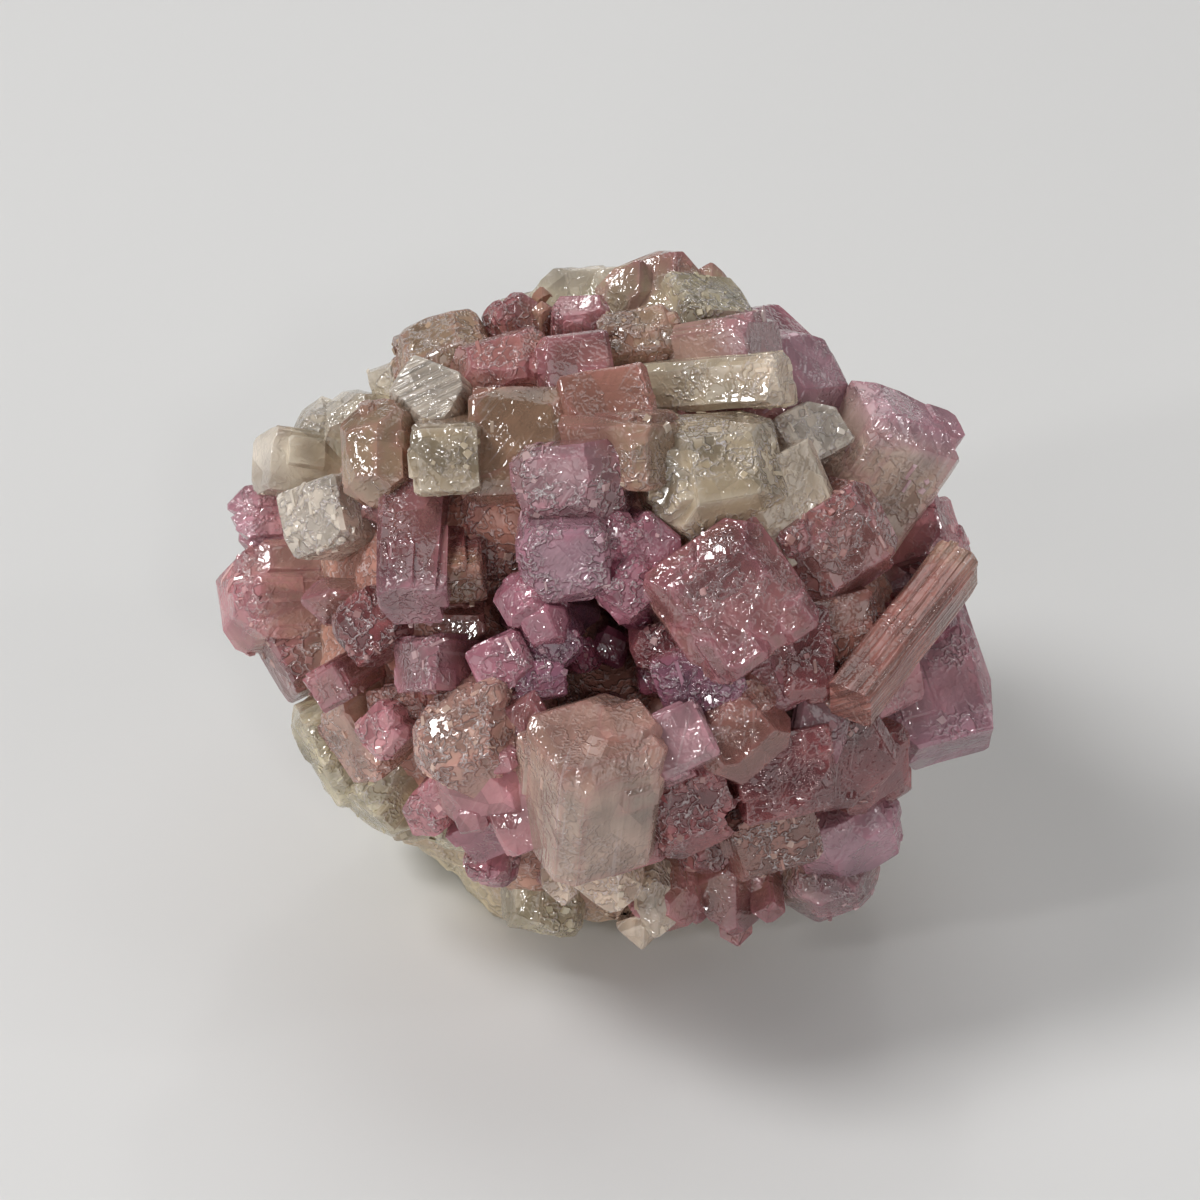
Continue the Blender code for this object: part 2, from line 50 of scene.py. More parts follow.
# The rounded form of the cluster, and the massive mineral inside it with its foot and its hollows
cluster = {
    "middle": (0.0, 0.0, 8.1),
    "dome": (9.6, 9.0, 8.1),
    "core": (7.3, 6.8, 6.3),
    "footReach": 9.5,
    "footBack": 1.3,
    "coreRoughness": 0.10,
    "footRoughness": 0.20,
    "coreGrain": 2.6,
    "hollows": (((0.3, -1.5, 6.5), 0.62, 0.54), ((-2.8, -0.1, 6.3), 0.45, 0.28)),
    "mouthClearance": 2.2,
}

# Crystals that fill in between the listed ones, on the sides, the back and in the gaps at the front
filling = {
    "count": 130,
    "frontNear": 0.8,
    "rimNear": -3.5,
    "rimShare": 0.9,
    "frontGap": 1.5,
    "sideGap": 1.3,
    "frontWidth": (0.9, 1.4),
    "sideWidth": (2.0, 3.0),
    "depth": 0.9,
    "length": 4.0,
    "reach": (0.90, 1.0),
    "tilt": 0.3,
    "habits": ("bevelled", "block", "pointed", "barrel"),
    "roughShare": 0.6,
    "footBelow": -0.4,
    "footLump": 1.06,
    "lowestTip": 0.9,
    "frontTints": (("brown", "mauve"), ("khaki", "tan"), ("mauve", "rose"), ("maroon", "brown")),
    "sideTints": (("greyGreen", "paleGreen"), ("khaki", "tan"), ("tan", "pink"), ("mauve", "greyLilac")),
    "roughTints": (("greyGreen", "paleGreen"), ("paleGreen", "frost")),
}

# How far the upright edges are cut off, the pyramid's slope, how wide the flat top is, how uneven the faces are
habits = {
    "block": (0.20, 42.0, 0.84, 0.03),
    "bevelled": (0.50, 42.0, 0.58, 0.04),
    "barrel": (0.85, 50.0, 0.48, 0.05),
    "pointed": (0.25, 52.0, 0.10, 0.05),
    "rod": (0.45, 35.0, 0.80, 0.02),
    "capped": (0.60, 40.0, 0.74, 0.02),
    "lump": (0.70, 34.0, 0.45, 0.10),
}

# The colours that the crystals are made of, as screen values from 0 to 255
tints = {
    "paleGreen": (224, 213, 178),
    "frost": (240, 228, 212),
    "cream": (240, 220, 194),
    "greyGreen": (206, 189, 156),
    "khaki": (200, 169, 139),
    "olive": (177, 142, 112),
    "tan": (229, 184, 164),
    "brown": (182, 126, 111),
    "mauve": (176, 115, 117),
    "greyLilac": (200, 156, 164),
    "lilac": (218, 168, 186),
    "purple": (164, 112, 140),
    "purplePink": (204, 134, 152),
    "magenta": (158, 68, 100),
    "pink": (228, 154, 162),
    "rose": (194, 124, 122),
    "plum": (152, 76, 82),
    "maroon": (136, 56, 52),
    "pinkRim": (202, 122, 142),
    # a dark red that is partly the crystals' own colour and partly painted shade deep in the hollow
    "hollow": (86, 20, 34),
}

# name, (across, up, near) of the tip, (right, up, near) that it points to, width, depth, length, twist, habit,
# tint of the body, tint of the tip
crystals = (
    ("left_barrel", (-9.4, 0.05, 1.2), (-0.93, -0.02, 0.36), 2.4, 2.4, 5.5, 20, "barrel", "tan", "pink"),
    ("left_under", (-8.15, -1.7, 1.0), (-0.85, -0.45, 0.28), 1.7, 1.8, 4.5, 35, "block", "tan", "mauve"),
    ("left_plum", (-5.9, -0.75, 5.9), (-0.3, -0.1, 0.95), 1.65, 1.6, 3.5, 40, "bevelled", "mauve", "plum"),
    ("left_brown", (-6.85, -2.25, 4.9), (-0.45, -0.3, 0.84), 1.1, 1.0, 3.5, 30, "block", "brown", "mauve"),
    ("left_pink_small", (-5.55, -3.35, 5.3), (-0.4, -0.25, 0.88), 1.2, 1.2, 3.5, 45, "bevelled", "tan", "pink"),
    ("left_lilac_point", (-9.3, 1.95, 0.6), (-0.95, -0.05, 0.3), 1.8, 1.6, 4.0, 10, "pointed", "pink", "lilac"),
    ("left_frost", (-7.3, 2.1, 4.0), (-0.6, 0.0, 0.8), 1.9, 1.7, 4.0, 15, "block", "frost", "frost"),
    ("left_olive", (-8.5, 3.5, 1.5), (-0.88, 0.12, 0.45), 1.2, 1.6, 5.0, 5, "block", "paleGreen", "frost"),
    ("left_rough_low", (-7.6, 4.5, 0.5), (-0.75, 0.6, 0.25), 1.8, 1.6, 4.0, 25, "lump", "paleGreen", "frost"),
    ("left_rough_high", (-6.6, 5.0, 1.0), (-0.6, 0.75, 0.3), 1.7, 1.5, 4.0, 50, "lump", "paleGreen", "frost"),
    ("green_low_1", (-7.6, -3.6, 1.5), (-0.85, -0.45, 0.25), 2.3, 1.7, 4.5, 15, "lump", "greyGreen", "paleGreen"),
    ("green_low_2", (-6.9, -4.7, 1.2), (-0.75, -0.6, 0.2), 1.9, 1.6, 4.5, 40, "lump", "greyGreen", "paleGreen"),
    ("green_low_3", (-5.9, -5.4, 1.5), (-0.6, -0.75, 0.2), 1.9, 1.6, 4.5, 20, "block", "greyGreen", "paleGreen"),
    ("green_low_4", (-5.1, -6.1, 0.8), (-0.45, -0.85, 0.1), 1.3, 1.2, 4.0, 45, "pointed", "khaki", "greyGreen"),
    ("green_slab", (-6.3, -3.7, 3.6), (-0.6, -0.5, 0.6), 1.4, 2.0, 4.0, 30, "block", "khaki", "tan"),
    ("olive_shield", (-5.95, 3.75, 5.8), (-0.45, 0.12, 0.88), 1.6, 2.6, 4.5, 5, "barrel", "olive", "khaki"),
    ("green_block", (-3.9, 3.45, 7.1), (-0.1, -0.15, 0.98), 1.6, 1.6, 4.5, 3, "block", "khaki", "greyGreen"),
    ("green_column", (-3.6, 0.3, 6.5), (0.05, -0.6, 0.8), 1.3, 1.1, 4.5, 8, "block", "maroon", "olive"),
    ("lilac_column", (-4.7, -0.2, 7.0), (-0.02, -0.8, 0.6), 1.6, 1.4, 4.4, 4, "block", "mauve", "greyLilac"),
    ("striated_white", (-4.4, 5.3, 5.1), (-0.25, 0.45, 0.85), 1.8, 1.5, 4.0, -25, "block", "khaki", "frost"),
    ("brown_wall", (-2.1, 4.1, 6.6), (-0.05, 0.3, 0.95), 2.3, 2.7, 5.0, 2, "block", "brown", "olive"),
    ("maroon_wall", (-2.6, 1.6, 5.8), (0.1, -0.3, 0.95), 1.4, 2.3, 4.0, 5, "block", "maroon", "brown"),
    ("dark_ledge", (-4.1, -0.8, 5.5), (0.0, -0.2, 0.97), 2.3, 1.1, 3.5, 4, "block", "maroon", "brown"),
    ("top_left_block", (-4.3, 6.65, 3.2), (-0.4, 0.65, 0.64), 2.3, 2.1, 4.5, 20, "bevelled", "olive", "khaki"),
    ("top_pink_tip", (-2.1, 7.7, 2.4), (-0.15, 0.85, 0.5), 1.6, 1.4, 4.0, 40, "pointed", "brown", "rose"),
    ("top_khaki_tip", (-1.25, 7.7, 2.2), (0.0, 0.88, 0.47), 1.1, 1.0, 3.5, 45, "pointed", "khaki", "khaki"),
    ("top_pink_flat", (-0.5, 7.4, 2.8), (0.05, 0.8, 0.6), 1.3, 1.1, 3.5, 5, "block", "mauve", "pink"),
    ("red_sparkle", (-2.6, 6.1, 4.9), (-0.2, 0.5, 0.84), 2.4, 1.7, 4.5, 15, "bevelled", "khaki", "rose"),
    ("mauve_top", (-0.6, 5.9, 5.5), (0.0, 0.5, 0.87), 1.8, 2.0, 4.0, 8, "block", "brown", "mauve"),
    ("summit", (1.7, 8.95, 0.7), (0.12, 0.92, 0.35), 2.8, 2.4, 5.0, 42, "pointed", "greyGreen", "rose"),
    ("summit_right", (2.9, 7.75, 1.4), (0.35, 0.82, 0.45), 2.1, 1.9, 4.5, 15, "block", "greyGreen", "paleGreen"),
    ("brown_head", (1.0, 7.0, 4.4), (-0.05, 0.65, 0.76), 1.9, 1.4, 4.5, 12, "bevelled", "olive", "khaki"),
    ("grey_bar", (4.15, 6.4, 4.8), (0.82, 0.1, 0.55), 1.7, 1.5, 4.8, 12, "rod", "tan", "greyLilac"),
    ("pale_bar", (4.65, 5.55, 5.8), (0.9, 0.05, 0.43), 1.15, 1.2, 4.8, 10, "rod", "paleGreen", "cream"),
    # painted light: its tint is lighter than its own colour, as this side faces away from the lamps
    ("pink_shoulder", (5.4, 5.9, 3.7), (0.6, 0.5, 0.62), 2.8, 2.6, 5.0, 20, "bevelled", "pink", "lilac"),
    ("pink_shoulder_back", (4.5, 6.85, 1.4), (0.5, 0.75, 0.43), 2.1, 2.0, 4.5, 35, "block", "rose", "purplePink"),
    # painted light: its tint is lighter than its own colour, as this side faces away from the lamps
    ("cream", (5.4, 4.3, 5.1), (0.4, 0.35, 0.85), 1.7, 1.4, 4.0, 30, "block", "cream", "frost"),
    ("big_frosted", (3.1, 3.3, 7.6), (0.15, 0.2, 0.97), 3.3, 3.4, 5.5, 10, "barrel", "greyGreen", "greyGreen"),
    # painted light: cream tint, lighter than this crystal's own mauve, as this side faces away from the lamps
    ("mauve_side", (4.9, 2.4, 6.6), (0.4, 0.05, 0.92), 2.3, 2.5, 5.0, 25, "block", "cream", "cream"),
    ("grey_bar_mid", (1.75, 3.7, 7.4), (0.72, -0.05, 0.69), 2.0, 1.7, 4.6, 5, "block", "brown", "khaki"),
    ("khaki_mid", (0.2, 5.1, 6.3), (0.1, 0.4, 0.91), 2.2, 1.5, 4.5, 12, "block", "olive", "brown"),
    ("sparkle_block", (-1.0, 2.9, 8.0), (-0.2, -0.15, 0.97), 2.7, 1.8, 5.0, 5, "bevelled", "mauve", "greyLilac"),
    ("lilac_centre", (-0.9, 0.75, 7.8), (-0.05, -0.45, 0.89), 2.1, 1.9, 4.2, 5, "block", "greyLilac", "lilac"),
    ("purple_bars", (1.0, 0.1, 7.4), (0.3, -0.35, 0.88), 1.5, 1.4, 3.8, 40, "bevelled", "purple", "purplePink"),
    ("purple_mid_1", (0.4, 1.5, 7.5), (0.1, -0.2, 0.97), 1.2, 1.1, 3.5, 30, "bevelled", "purple", "purplePink"),
    ("purple_mid_2", (1.3, 1.3, 7.3), (0.3, -0.1, 0.95), 1.3, 1.3, 3.5, 50, "block", "purple", "purplePink"),
    ("purple_left_1", (-1.6, -0.7, 7.2), (-0.15, -0.2, 0.97), 1.5, 1.4, 3.6, 20, "barrel", "purple", "purplePink"),
    ("purple_left_2", (-2.15, 0.05, 7.2), (-0.4, 0.1, 0.9), 1.1, 1.1, 3.5, 35, "bevelled", "purple", "purplePink"),
    ("magenta_left_1", (-0.95, -1.1, 6.9), (0.3, -0.2, 0.93), 1.2, 1.1, 3.4, 45, "bevelled", "magenta", "purple"),
    ("purple_left_3", (-2.5, -1.6, 7.0), (-0.2, -0.1, 0.97), 1.4, 1.2, 3.6, 25, "block", "purple", "purplePink"),
    ("magenta_left_2", (-1.5, -2.05, 6.9), (0.1, -0.3, 0.95), 1.2, 1.0, 3.4, 10, "block", "magenta", "purple"),
    ("lilac_bar", (-4.75, -1.6, 6.3), (-0.7, 0.05, 0.71), 1.5, 1.3, 3.8, 3, "block", "mauve", "greyLilac"),
    ("dark_left", (-5.1, -2.7, 5.0), (-0.3, -0.1, 0.95), 1.5, 1.0, 3.5, 8, "block", "maroon", "brown"),
    ("tan_ball", (-3.55, -3.5, 7.4), (-0.2, 0.05, 0.98), 2.7, 2.6, 5.0, 20, "barrel", "tan", "tan"),
    ("tan_small", (-1.9, -2.9, 7.0), (-0.05, -0.1, 0.99), 1.1, 1.1, 3.5, 30, "bevelled", "tan", "rose"),
    ("pink_low_left", (-3.0, -4.9, 6.7), (-0.2, -0.45, 0.87), 2.4, 1.9, 4.5, 12, "bevelled", "tan", "pink"),
    ("pink_rough_1", (-4.55, -5.5, 5.0), (-0.5, -0.5, 0.7), 1.1, 1.1, 3.6, 15, "lump", "rose", "pink"),
    ("pink_rough_2", (-4.1, -5.0, 5.6), (-0.35, -0.4, 0.85), 1.0, 0.9, 3.6, 40, "bevelled", "rose", "pink"),
    ("front_clear", (-0.05, -3.25, 8.2), (0.08, 0.74, 0.66), 2.85, 2.7, 3.6, 25, "capped", "cream", "tan"),
    ("front_low", (0.15, -8.5, 3.0), (0.06, -0.9, 0.43), 3.1, 2.8, 6.5, 40, "pointed", "cream", "cream"),
    ("pink_drop", (-2.85, -7.1, 3.0), (-0.15, -0.9, 0.4), 1.1, 1.0, 3.5, 10, "bevelled", "rose", "purplePink"),
    ("purple_drop", (-3.0, -6.1, 4.2), (-0.2, -0.7, 0.7), 1.4, 1.2, 3.8, 35, "block", "rose", "purplePink"),
    ("pink_purple_low", (-1.9, -5.4, 6.6), (-0.15, -0.3, 0.94), 1.8, 1.7, 4.0, 25, "block", "rose", "pink"),
    ("brown_thumb", (1.65, -8.1, 2.6), (0.05, -0.85, 0.5), 1.5, 1.4, 5.5, 30, "barrel", "brown", "rose"),
    ("dark_toe", (3.4, -8.35, 2.0), (0.1, -0.85, 0.5), 2.4, 2.1, 6.0, 40, "pointed", "brown", "mauve"),
    ("lilac_toe", (6.6, -6.5, 2.9), (0.5, -0.65, 0.57), 2.6, 2.4, 5.5, 25, "bevelled", "mauve", "lilac"),
    ("grey_toe", (5.95, -7.75, 1.9), (0.25, -0.88, 0.4), 2.4, 2.2, 5.5, 30, "barrel", "khaki", "greyLilac"),
    ("maroon_edge", (7.3, -4.4, 4.2), (0.7, -0.3, 0.65), 2.2, 1.9, 4.5, 15, "bevelled", "brown", "plum"),
    ("tan_low_right", (6.3, -4.1, 5.6), (0.4, -0.25, 0.88), 2.5, 2.1, 4.5, 35, "block", "maroon", "plum"),
    ("lilac_slab", (8.8, -3.8, 1.7), (0.28, -0.92, 0.27), 2.8, 2.4, 5.0, 10, "block", "greyLilac", "lilac"),
    ("magenta_bud", (8.65, -0.3, 2.8), (0.75, 0.15, 0.64), 1.4, 1.3, 4.0, 25, "bevelled", "plum", "magenta"),
    ("striated_rod", (9.0, 0.95, 4.0), (0.53, 0.63, -0.57), 1.25, 1.1, 5.4, 20, "rod", "brown", "khaki"),
    ("rod_foot", (6.3, -2.4, 6.4), (0.15, -0.2, 0.97), 1.1, 1.0, 3.5, 35, "block", "khaki", "tan"),
    ("right_pink_small_1", (8.75, 2.0, 2.2), (0.85, 0.3, 0.43), 1.3, 1.3, 4.5, 15, "block", "rose", "pink"),
    ("right_pink_small_2", (9.1, 1.05, 1.8), (0.9, -0.05, 0.42), 1.2, 1.2, 4.5, 40, "block", "rose", "pink"),
    ("right_pink_big", (7.9, 4.85, 3.6), (0.5, 0.75, 0.43), 2.7, 2.4, 5.5, 0, "bevelled", "cream", "lilac"),
    # painted shade: its dark maroon body is partly its own colour and partly the shade on this face
    ("maroon_head", (6.25, 1.3, 6.4), (0.42, -0.12, 0.9), 2.7, 2.4, 5.0, 30, "bevelled", "maroon", "rose"),
    ("sparkle_brown", (6.15, -0.85, 6.2), (0.35, -0.15, 0.92), 1.9, 1.8, 4.0, 12, "block", "maroon", "brown"),
    ("maroon_face", (5.2, -1.3, 6.9), (0.2, 0.1, 0.97), 1.2, 2.2, 4.0, 5, "block", "maroon", "plum"),
    ("pink_behind_rod", (7.4, -1.9, 5.0), (0.6, -0.2, 0.77), 2.1, 2.0, 4.5, 20, "block", "rose", "pink"),
    ("mauve_strip", (5.6, -3.0, 6.3), (0.2, 0.1, 0.97), 1.3, 1.9, 4.0, -12, "block", "mauve", "greyLilac"),
    ("big_mauve", (3.35, 0.05, 8.1), (0.05, 0.0, 1.0), 3.2, 3.2, 5.5, 35, "bevelled", "brown", "mauve"),
    ("plum_below", (2.5, -2.2, 7.4), (0.0, -0.3, 0.95), 2.0, 1.7, 4.0, 20, "block", "plum", "purple"),
    ("hollow_right", (1.3, -1.3, 6.8), (-0.3, -0.2, 0.93), 1.2, 1.2, 3.5, 15, "lump", "magenta", "plum"),
    ("mauve_low_right", (4.3, -1.9, 7.0), (0.15, -0.1, 0.98), 1.9, 1.8, 4.0, 25, "block", "brown", "mauve"),
    ("white_glint", (1.9, -3.5, 7.9), (-0.1, 0.15, 0.98), 1.7, 1.5, 4.5, 25, "block", "mauve", "greyLilac"),
    ("mauve_low_1", (3.5, -3.2, 7.5), (0.1, 0.1, 0.99), 2.3, 2.1, 4.5, 40, "bevelled", "plum", "brown"),
    ("mauve_low_2", (4.7, -4.4, 6.7), (0.2, -0.1, 0.97), 2.3, 2.1, 4.5, 10, "block", "maroon", "plum"),
    ("red_low", (2.4, -5.3, 7.0), (0.05, -0.3, 0.95), 2.5, 2.3, 5.0, 30, "bevelled", "maroon", "plum"),
    ("sparkle_low", (4.3, -6.0, 5.4), (0.15, -0.45, 0.88), 2.3, 2.2, 5.0, 15, "block", "maroon", "brown"),
    ("red_low_left", (0.8, -6.0, 6.0), (0.0, -0.4, 0.9), 1.8, 1.7, 4.5, 20, "block", "maroon", "rose"),
    ("rough_top_1", (-0.7, 8.3, -0.8), (-0.1, 0.97, -0.2), 2.4, 2.0, 4.5, 15, "lump", "paleGreen", "frost"),
    ("rough_top_2", (-1.9, 7.75, -0.6), (-0.25, 0.95, -0.1), 2.0, 1.8, 4.5, 35, "lump", "paleGreen", "frost"),
    ("rough_top_3", (0.5, 8.25, -0.8), (0.1, 0.97, -0.2), 2.2, 1.8, 4.5, 55, "lump", "paleGreen", "frost"),
    ("green_under", (-1.5, -8.4, 0.2), (-0.1, -0.95, 0.1), 1.9, 1.7, 4.5, 20, "lump", "greyGreen", "paleGreen"),
    ("green_edge", (-4.0, -6.15, 0.6), (-0.4, -0.88, 0.1), 2.2, 1.7, 4.0, 30, "lump", "greyGreen", "paleGreen"),
)

# The crystals deep in the hollow, whose dark tint is partly painted shade: tip and direction as above, width, twist
hollowCrystals = (
    ((-0.3, -1.4, 5.4), (0.45, 0.0, 0.9), 0.8, 20),
    ((0.9, -0.5, 5.6), (0.0, -0.45, 0.9), 0.8, 50),
    ((0.3, -2.6, 5.2), (0.1, 0.4, 0.9), 0.9, 35),
    ((1.2, -1.9, 5.4), (-0.4, 0.1, 0.9), 0.8, 10),
    ((0.3, -1.2, 4.4), (0.1, -0.1, 1.0), 0.9, 65),
)
hollowLength = 2.6

# How the crystals are finished in mesh: rounded edges, ledges of smaller crystals grown parallel, fine waviness
growth = {
    "edgeRound": 0.03,
    "meshSize": 0.34,
    "rimAngle": 20.0,
    "deeper": 2.5,
    "ledges": (3, 7),
    "ledgeFrom": 1.1,
    "ledgeShare": (0.25, 0.6),
    "ledgeOut": (0.03, 0.10),
    "ledgeDown": (-0.04, 0.40),
    "ledgeLength": (0.15, 0.5),
    "ribs": 16,
    "ribFrom": 2.0,
    "ribShare": (0.06, 0.2),
    "chips": (3, 6),
    "chipDepth": (0.03, 0.12),
    "wave": 0.03,
    "ridge": 0.010,
    "lumpWave": 0.10,
    "tipZone": 1.2,
    "rimShare": 0.33,
    # painted highlight: how much lighter the tint is made along the sharp edges
    "rimPaintedHighlight": 0.12,
    "clouds": 0.45,
    "shade": (0.93, 1.07),
    "bleed": 0.4,
    "bleedReach": 2.2,
    "sharpAngle": 16.0,
}

# How much fine sparkle (crinkle relief and flakes, with painted shade and highlights on the crinkles) and how strong
# lines along the crystal (with painted highlights) some of them have; the others get a chance value
marks = {
    "big_frosted": (1.0, 0.2), "sparkle_block": (1.0, 0.3), "sparkle_low": (1.0, 0.2), "left_frost": (0.9, 0.2),
    "green_low": (0.9, 0.2), "tan_ball": (0.9, 0.2), "summit_right": (0.9, 0.2), "lilac_centre": (0.8, 0.6),
    "striated_rod": (0.2, 3.0), "striated_white": (0.4, 3.0), "front_clear": (0.35, 0.6), "lilac_slab": (0.5, 0.5),
    "right_pink_big": (0.4, 0.5), "left_olive": (0.1, 0.2), "brown_wall": (0.1, 0.4), "olive_shield": (0.2, 0.2),
}
markRange = ((0.25, 0.8), (0.1, 0.4))

# Small flakes and splinters that stand on the faces
flakes = {
    "perArea": 3.5,
    "size": (0.08, 0.32),
    "thickness": (0.01, 0.035),
    "tilt": 0.28,
    "splinterShare": 0.2,
    "splinter": (3.0, 6.0),
    "reachDown": 1.8,
    "whiter": (0.0, 0.35),
}

middle = Vector(cluster["middle"])
dome = Vector(cluster["dome"])
elevation = math.radians(photoView["elevation"])
rightWay = Vector((1.0, 0.0, 0.0))
upWay = Vector((0.0, math.sin(elevation), math.cos(elevation)))
nearWay = Vector((0.0, -math.cos(elevation), math.sin(elevation)))
octagonCut = 1 - 1 / math.sqrt(2)


def linear(screenValue):
    share = screenValue / 255
    return share / 12.92 if share <= 0.04045 else ((share + 0.055) / 1.055) ** 2.4


def tintOf(name):
    return Vector([linear(value) for value in tints[name]])


def seenAt(across, up, near):
    shrink = (photoView["distance"] - near) / photoView["distance"]
    return middle + (rightWay * across + upWay * up) * shrink + nearWay * near


def towards(right, up, near):
    return (rightWay * right + upWay * up + nearWay * near).normalized()


def nearness(place):
    return (place - middle).dot(nearWay)


def ellipsoidReach(direction, radii):
    return 1 / math.sqrt(sum((part / radius) ** 2 for part, radius in zip(direction, radii)))


def coreAt(direction, share=1.0):
    low = max(0.0, -direction.z)
    core = Vector(cluster["core"])
    reach = ellipsoidReach(direction, Vector((core.x, core.y, cluster["footReach"] if low else core.z)))
    roughness = cluster["coreRoughness"] + (cluster["footRoughness"] - cluster["coreRoughness"]) * low
    reach *= share + roughness * noise.noise(direction * cluster["coreGrain"])
    for mouth, depth, width in cluster["hollows"]:
        apart = direction.angle((seenAt(*mouth) - middle).normalized())
        reach *= 1 - depth * max(0.0, 1 - (apart / width) ** 2) ** 2
    return middle + direction * reach + Vector((0.0, cluster["footBack"] * low, 0.0))


def cut(bm, point, normal):
    found = bmesh.ops.bisect_plane(
        bm, geom=bm.verts[:] + bm.edges[:] + bm.faces[:], dist=1e-5,
        plane_co=point, plane_no=normal, clear_outer=True)
    edges = [item for item in found["geom_cut"] if isinstance(item, bmesh.types.BMEdge)]
    if edges:
        bmesh.ops.edgeloop_fill(bm, edges=edges)


def crystalForm(name, width, depth, length, habit):
    # A four-sided crystal along +Z with its tip at the origin, and the planes of its faces
    rng = random.Random(name)
    edgeCut, slope, flat, uneven = habits[habit]
    half = Vector((width / 2, depth / 2, 0.0))
    bm = bmesh.new()
    bmesh.ops.create_cube(bm, size=2.0)
    for vert in bm.verts:
        vert.co = Vector((vert.co.x * width, vert.co.y * depth, (vert.co.z - 1) * length / 2))
    planes = []
    for quarter in range(4):
        out = Matrix.Rotation(quarter * math.pi / 2, 3, "Z") @ Vector((1.0, 0.0, 0.0))
        reach = abs(out.dot(half)) * rng.uniform(1 - uneven, 1 + uneven)
        lean = rng.uniform(-uneven, uneven)
        planes.append((out * reach, (out + Vector((0.0, 0.0, lean))).normalized()))
        steep = math.radians(slope) + rng.uniform(-2 * uneven, 2 * uneven)
        flatHere = flat * rng.uniform(1 - 5 * uneven, 1 + 4 * uneven)
        planes.append((out * reach * flatHere, out * math.sin(steep) + Vector((0.0, 0.0, math.cos(steep)))))
    for quarter in range(4):
        out = Matrix.Rotation((quarter + 0.5) * math.pi / 2, 3, "Z") @ Vector((1.0, 0.0, 0.0))
        full = abs(out.x) * half.x + abs(out.y) * half.y
        cutHere = edgeCut * rng.uniform(1 - 8 * uneven, 1 + 8 * uneven)
        planes.append((out * full * (1 - octagonCut * cutHere), out))
    top = Vector((rng.uniform(-uneven, uneven), rng.uniform(-uneven, uneven), 1.0)).normalized()
    planes.append((Vector((0.0, 0.0, -uneven * width / 2)), top))
    for point, normal in planes:
        cut(bm, point, normal)
    return bm, planes


def chip(bm, planes, name, width):
    # Breaks small pieces off the corners, which leaves oblique faces
    rng = random.Random("chips " + name)
    for _ in range(rng.randint(*growth["chips"])):
        out = Vector((rng.uniform(-1, 1), rng.uniform(-1, 1), rng.uniform(0.0, 0.9))).normalized()
        reach = max(vert.co.dot(out) for vert in bm.verts) - width * rng.uniform(*growth["chipDepth"])
        planes.append((out * reach, out))
        cut(bm, *planes[-1])


def facing(aim, twist):
    turned = nearWay.rotation_difference(aim).to_matrix() @ Matrix((rightWay, upWay, nearWay)).transposed()
    return turned @ Matrix.Rotation(math.radians(twist), 3, "Z")


def ledgesOn(name, width, depth, length, habit, ribbed):
    # Smaller crystals grown parallel to a larger one, standing a little out of its faces: shift and size
    rng = random.Random("ledges " + name)
    for number in range(growth["ribs"] if ribbed else rng.randint(*growth["ledges"])):
        share = rng.uniform(*growth["ribShare" if ribbed else "ledgeShare"])
        out = rng.uniform(*growth["ledgeOut"]) * (0.5 if ribbed else 1.0)
        side = rng.randrange(4)
        along = rng.uniform(-0.5, 0.5) * (1 - share)
        size = Vector((width * share, depth * share, 0.0))
        shift = Vector((
            width * along if side % 2 else (1 - side) * (width / 2 - size.x / 2 + out),
            (2 - side) * (depth / 2 - size.y / 2 + out) if side % 2 else depth * along,
            -width * rng.uniform(*growth["ledgeDown"])))
        ownLength = length * (rng.uniform(0.7, 0.95) if ribbed else rng.uniform(*growth["ledgeLength"]))
        yield f"{name} ledge {number}", shift, size.x, size.y, ownLength, habit


def depthBelow(place):
    # How far a place is below the cluster's rounded outside, in millimetres
    away = place - middle
    return max(0.0, (1 - math.sqrt(sum((part / radius) ** 2 for part, radius in zip(away, dome)))) * min(dome))


def rounded(bm, edgeRound):
    bmesh.ops.bevel(
        bm, geom=bm.edges[:], offset=edgeRound, segments=1, affect="EDGES", profile=0.5, clamp_overlap=True)


def meshObject(name, bm):
    mesh = bpy.data.meshes.new(name)
    bm.to_mesh(mesh)
    bm.free()
    obj = bpy.data.objects.new(name, mesh)
    bpy.context.scene.collection.objects.link(obj)
    return obj


def united(body, ledges):
    # One closed body out of a crystal and its ledges
    target = meshObject("body", body)
    tool = meshObject("ledgesOfBody", ledges)
    union = target.modifiers.new("union", "BOOLEAN")
    union.operation = "UNION"
    union.solver = "EXACT"
    union.use_self = True
    union.object = tool
    bm = bmesh.new()
    bm.from_object(target, bpy.context.evaluated_depsgraph_get())
    for obj in (target, tool):
        mesh = obj.data
        bpy.data.objects.remove(obj)
        bpy.data.meshes.remove(mesh)
    return bm


def refine(bm, toWorld, size):
    # Divides the faces until no edge is longer than the size; those deep in the cluster may be longer
    bmesh.ops.triangulate(bm, faces=bm.faces[:])
    for _ in range(7):
        far = []
        for edge in bm.edges:
            length = edge.calc_length()
            if length > size:
                deep = depthBelow(toWorld @ ((edge.verts[0].co + edge.verts[1].co) / 2)) - growth["deeper"]
                if length > size * (1 + max(0.0, deep) * 4):
                    far.append(edge)
        if not far:
            break
        bmesh.ops.subdivide_edges(bm, edges=far, cuts=1)
        bmesh.ops.triangulate(bm, faces=[face for face in bm.faces if len(face.verts) > 3])


def nearbyTint(place):
    # The listed crystals' colours near this place, so that neighbours aren't too unlike
    total = Vector((0.0, 0.0, 0.0))
    weights = 0.0
    for _, seen, *_, body, tip in crystals:
        weight = math.exp(-((place - seenAt(*seen)).length / growth["bleedReach"]) ** 2) + 1e-6
        total += (tintOf(body) + tintOf(tip)) * (weight / 2)
        weights += weight
    return total / weights


def smoothStep(value):
    value = min(1.0, max(0.0, value))
    return value * value * (3 - 2 * value)


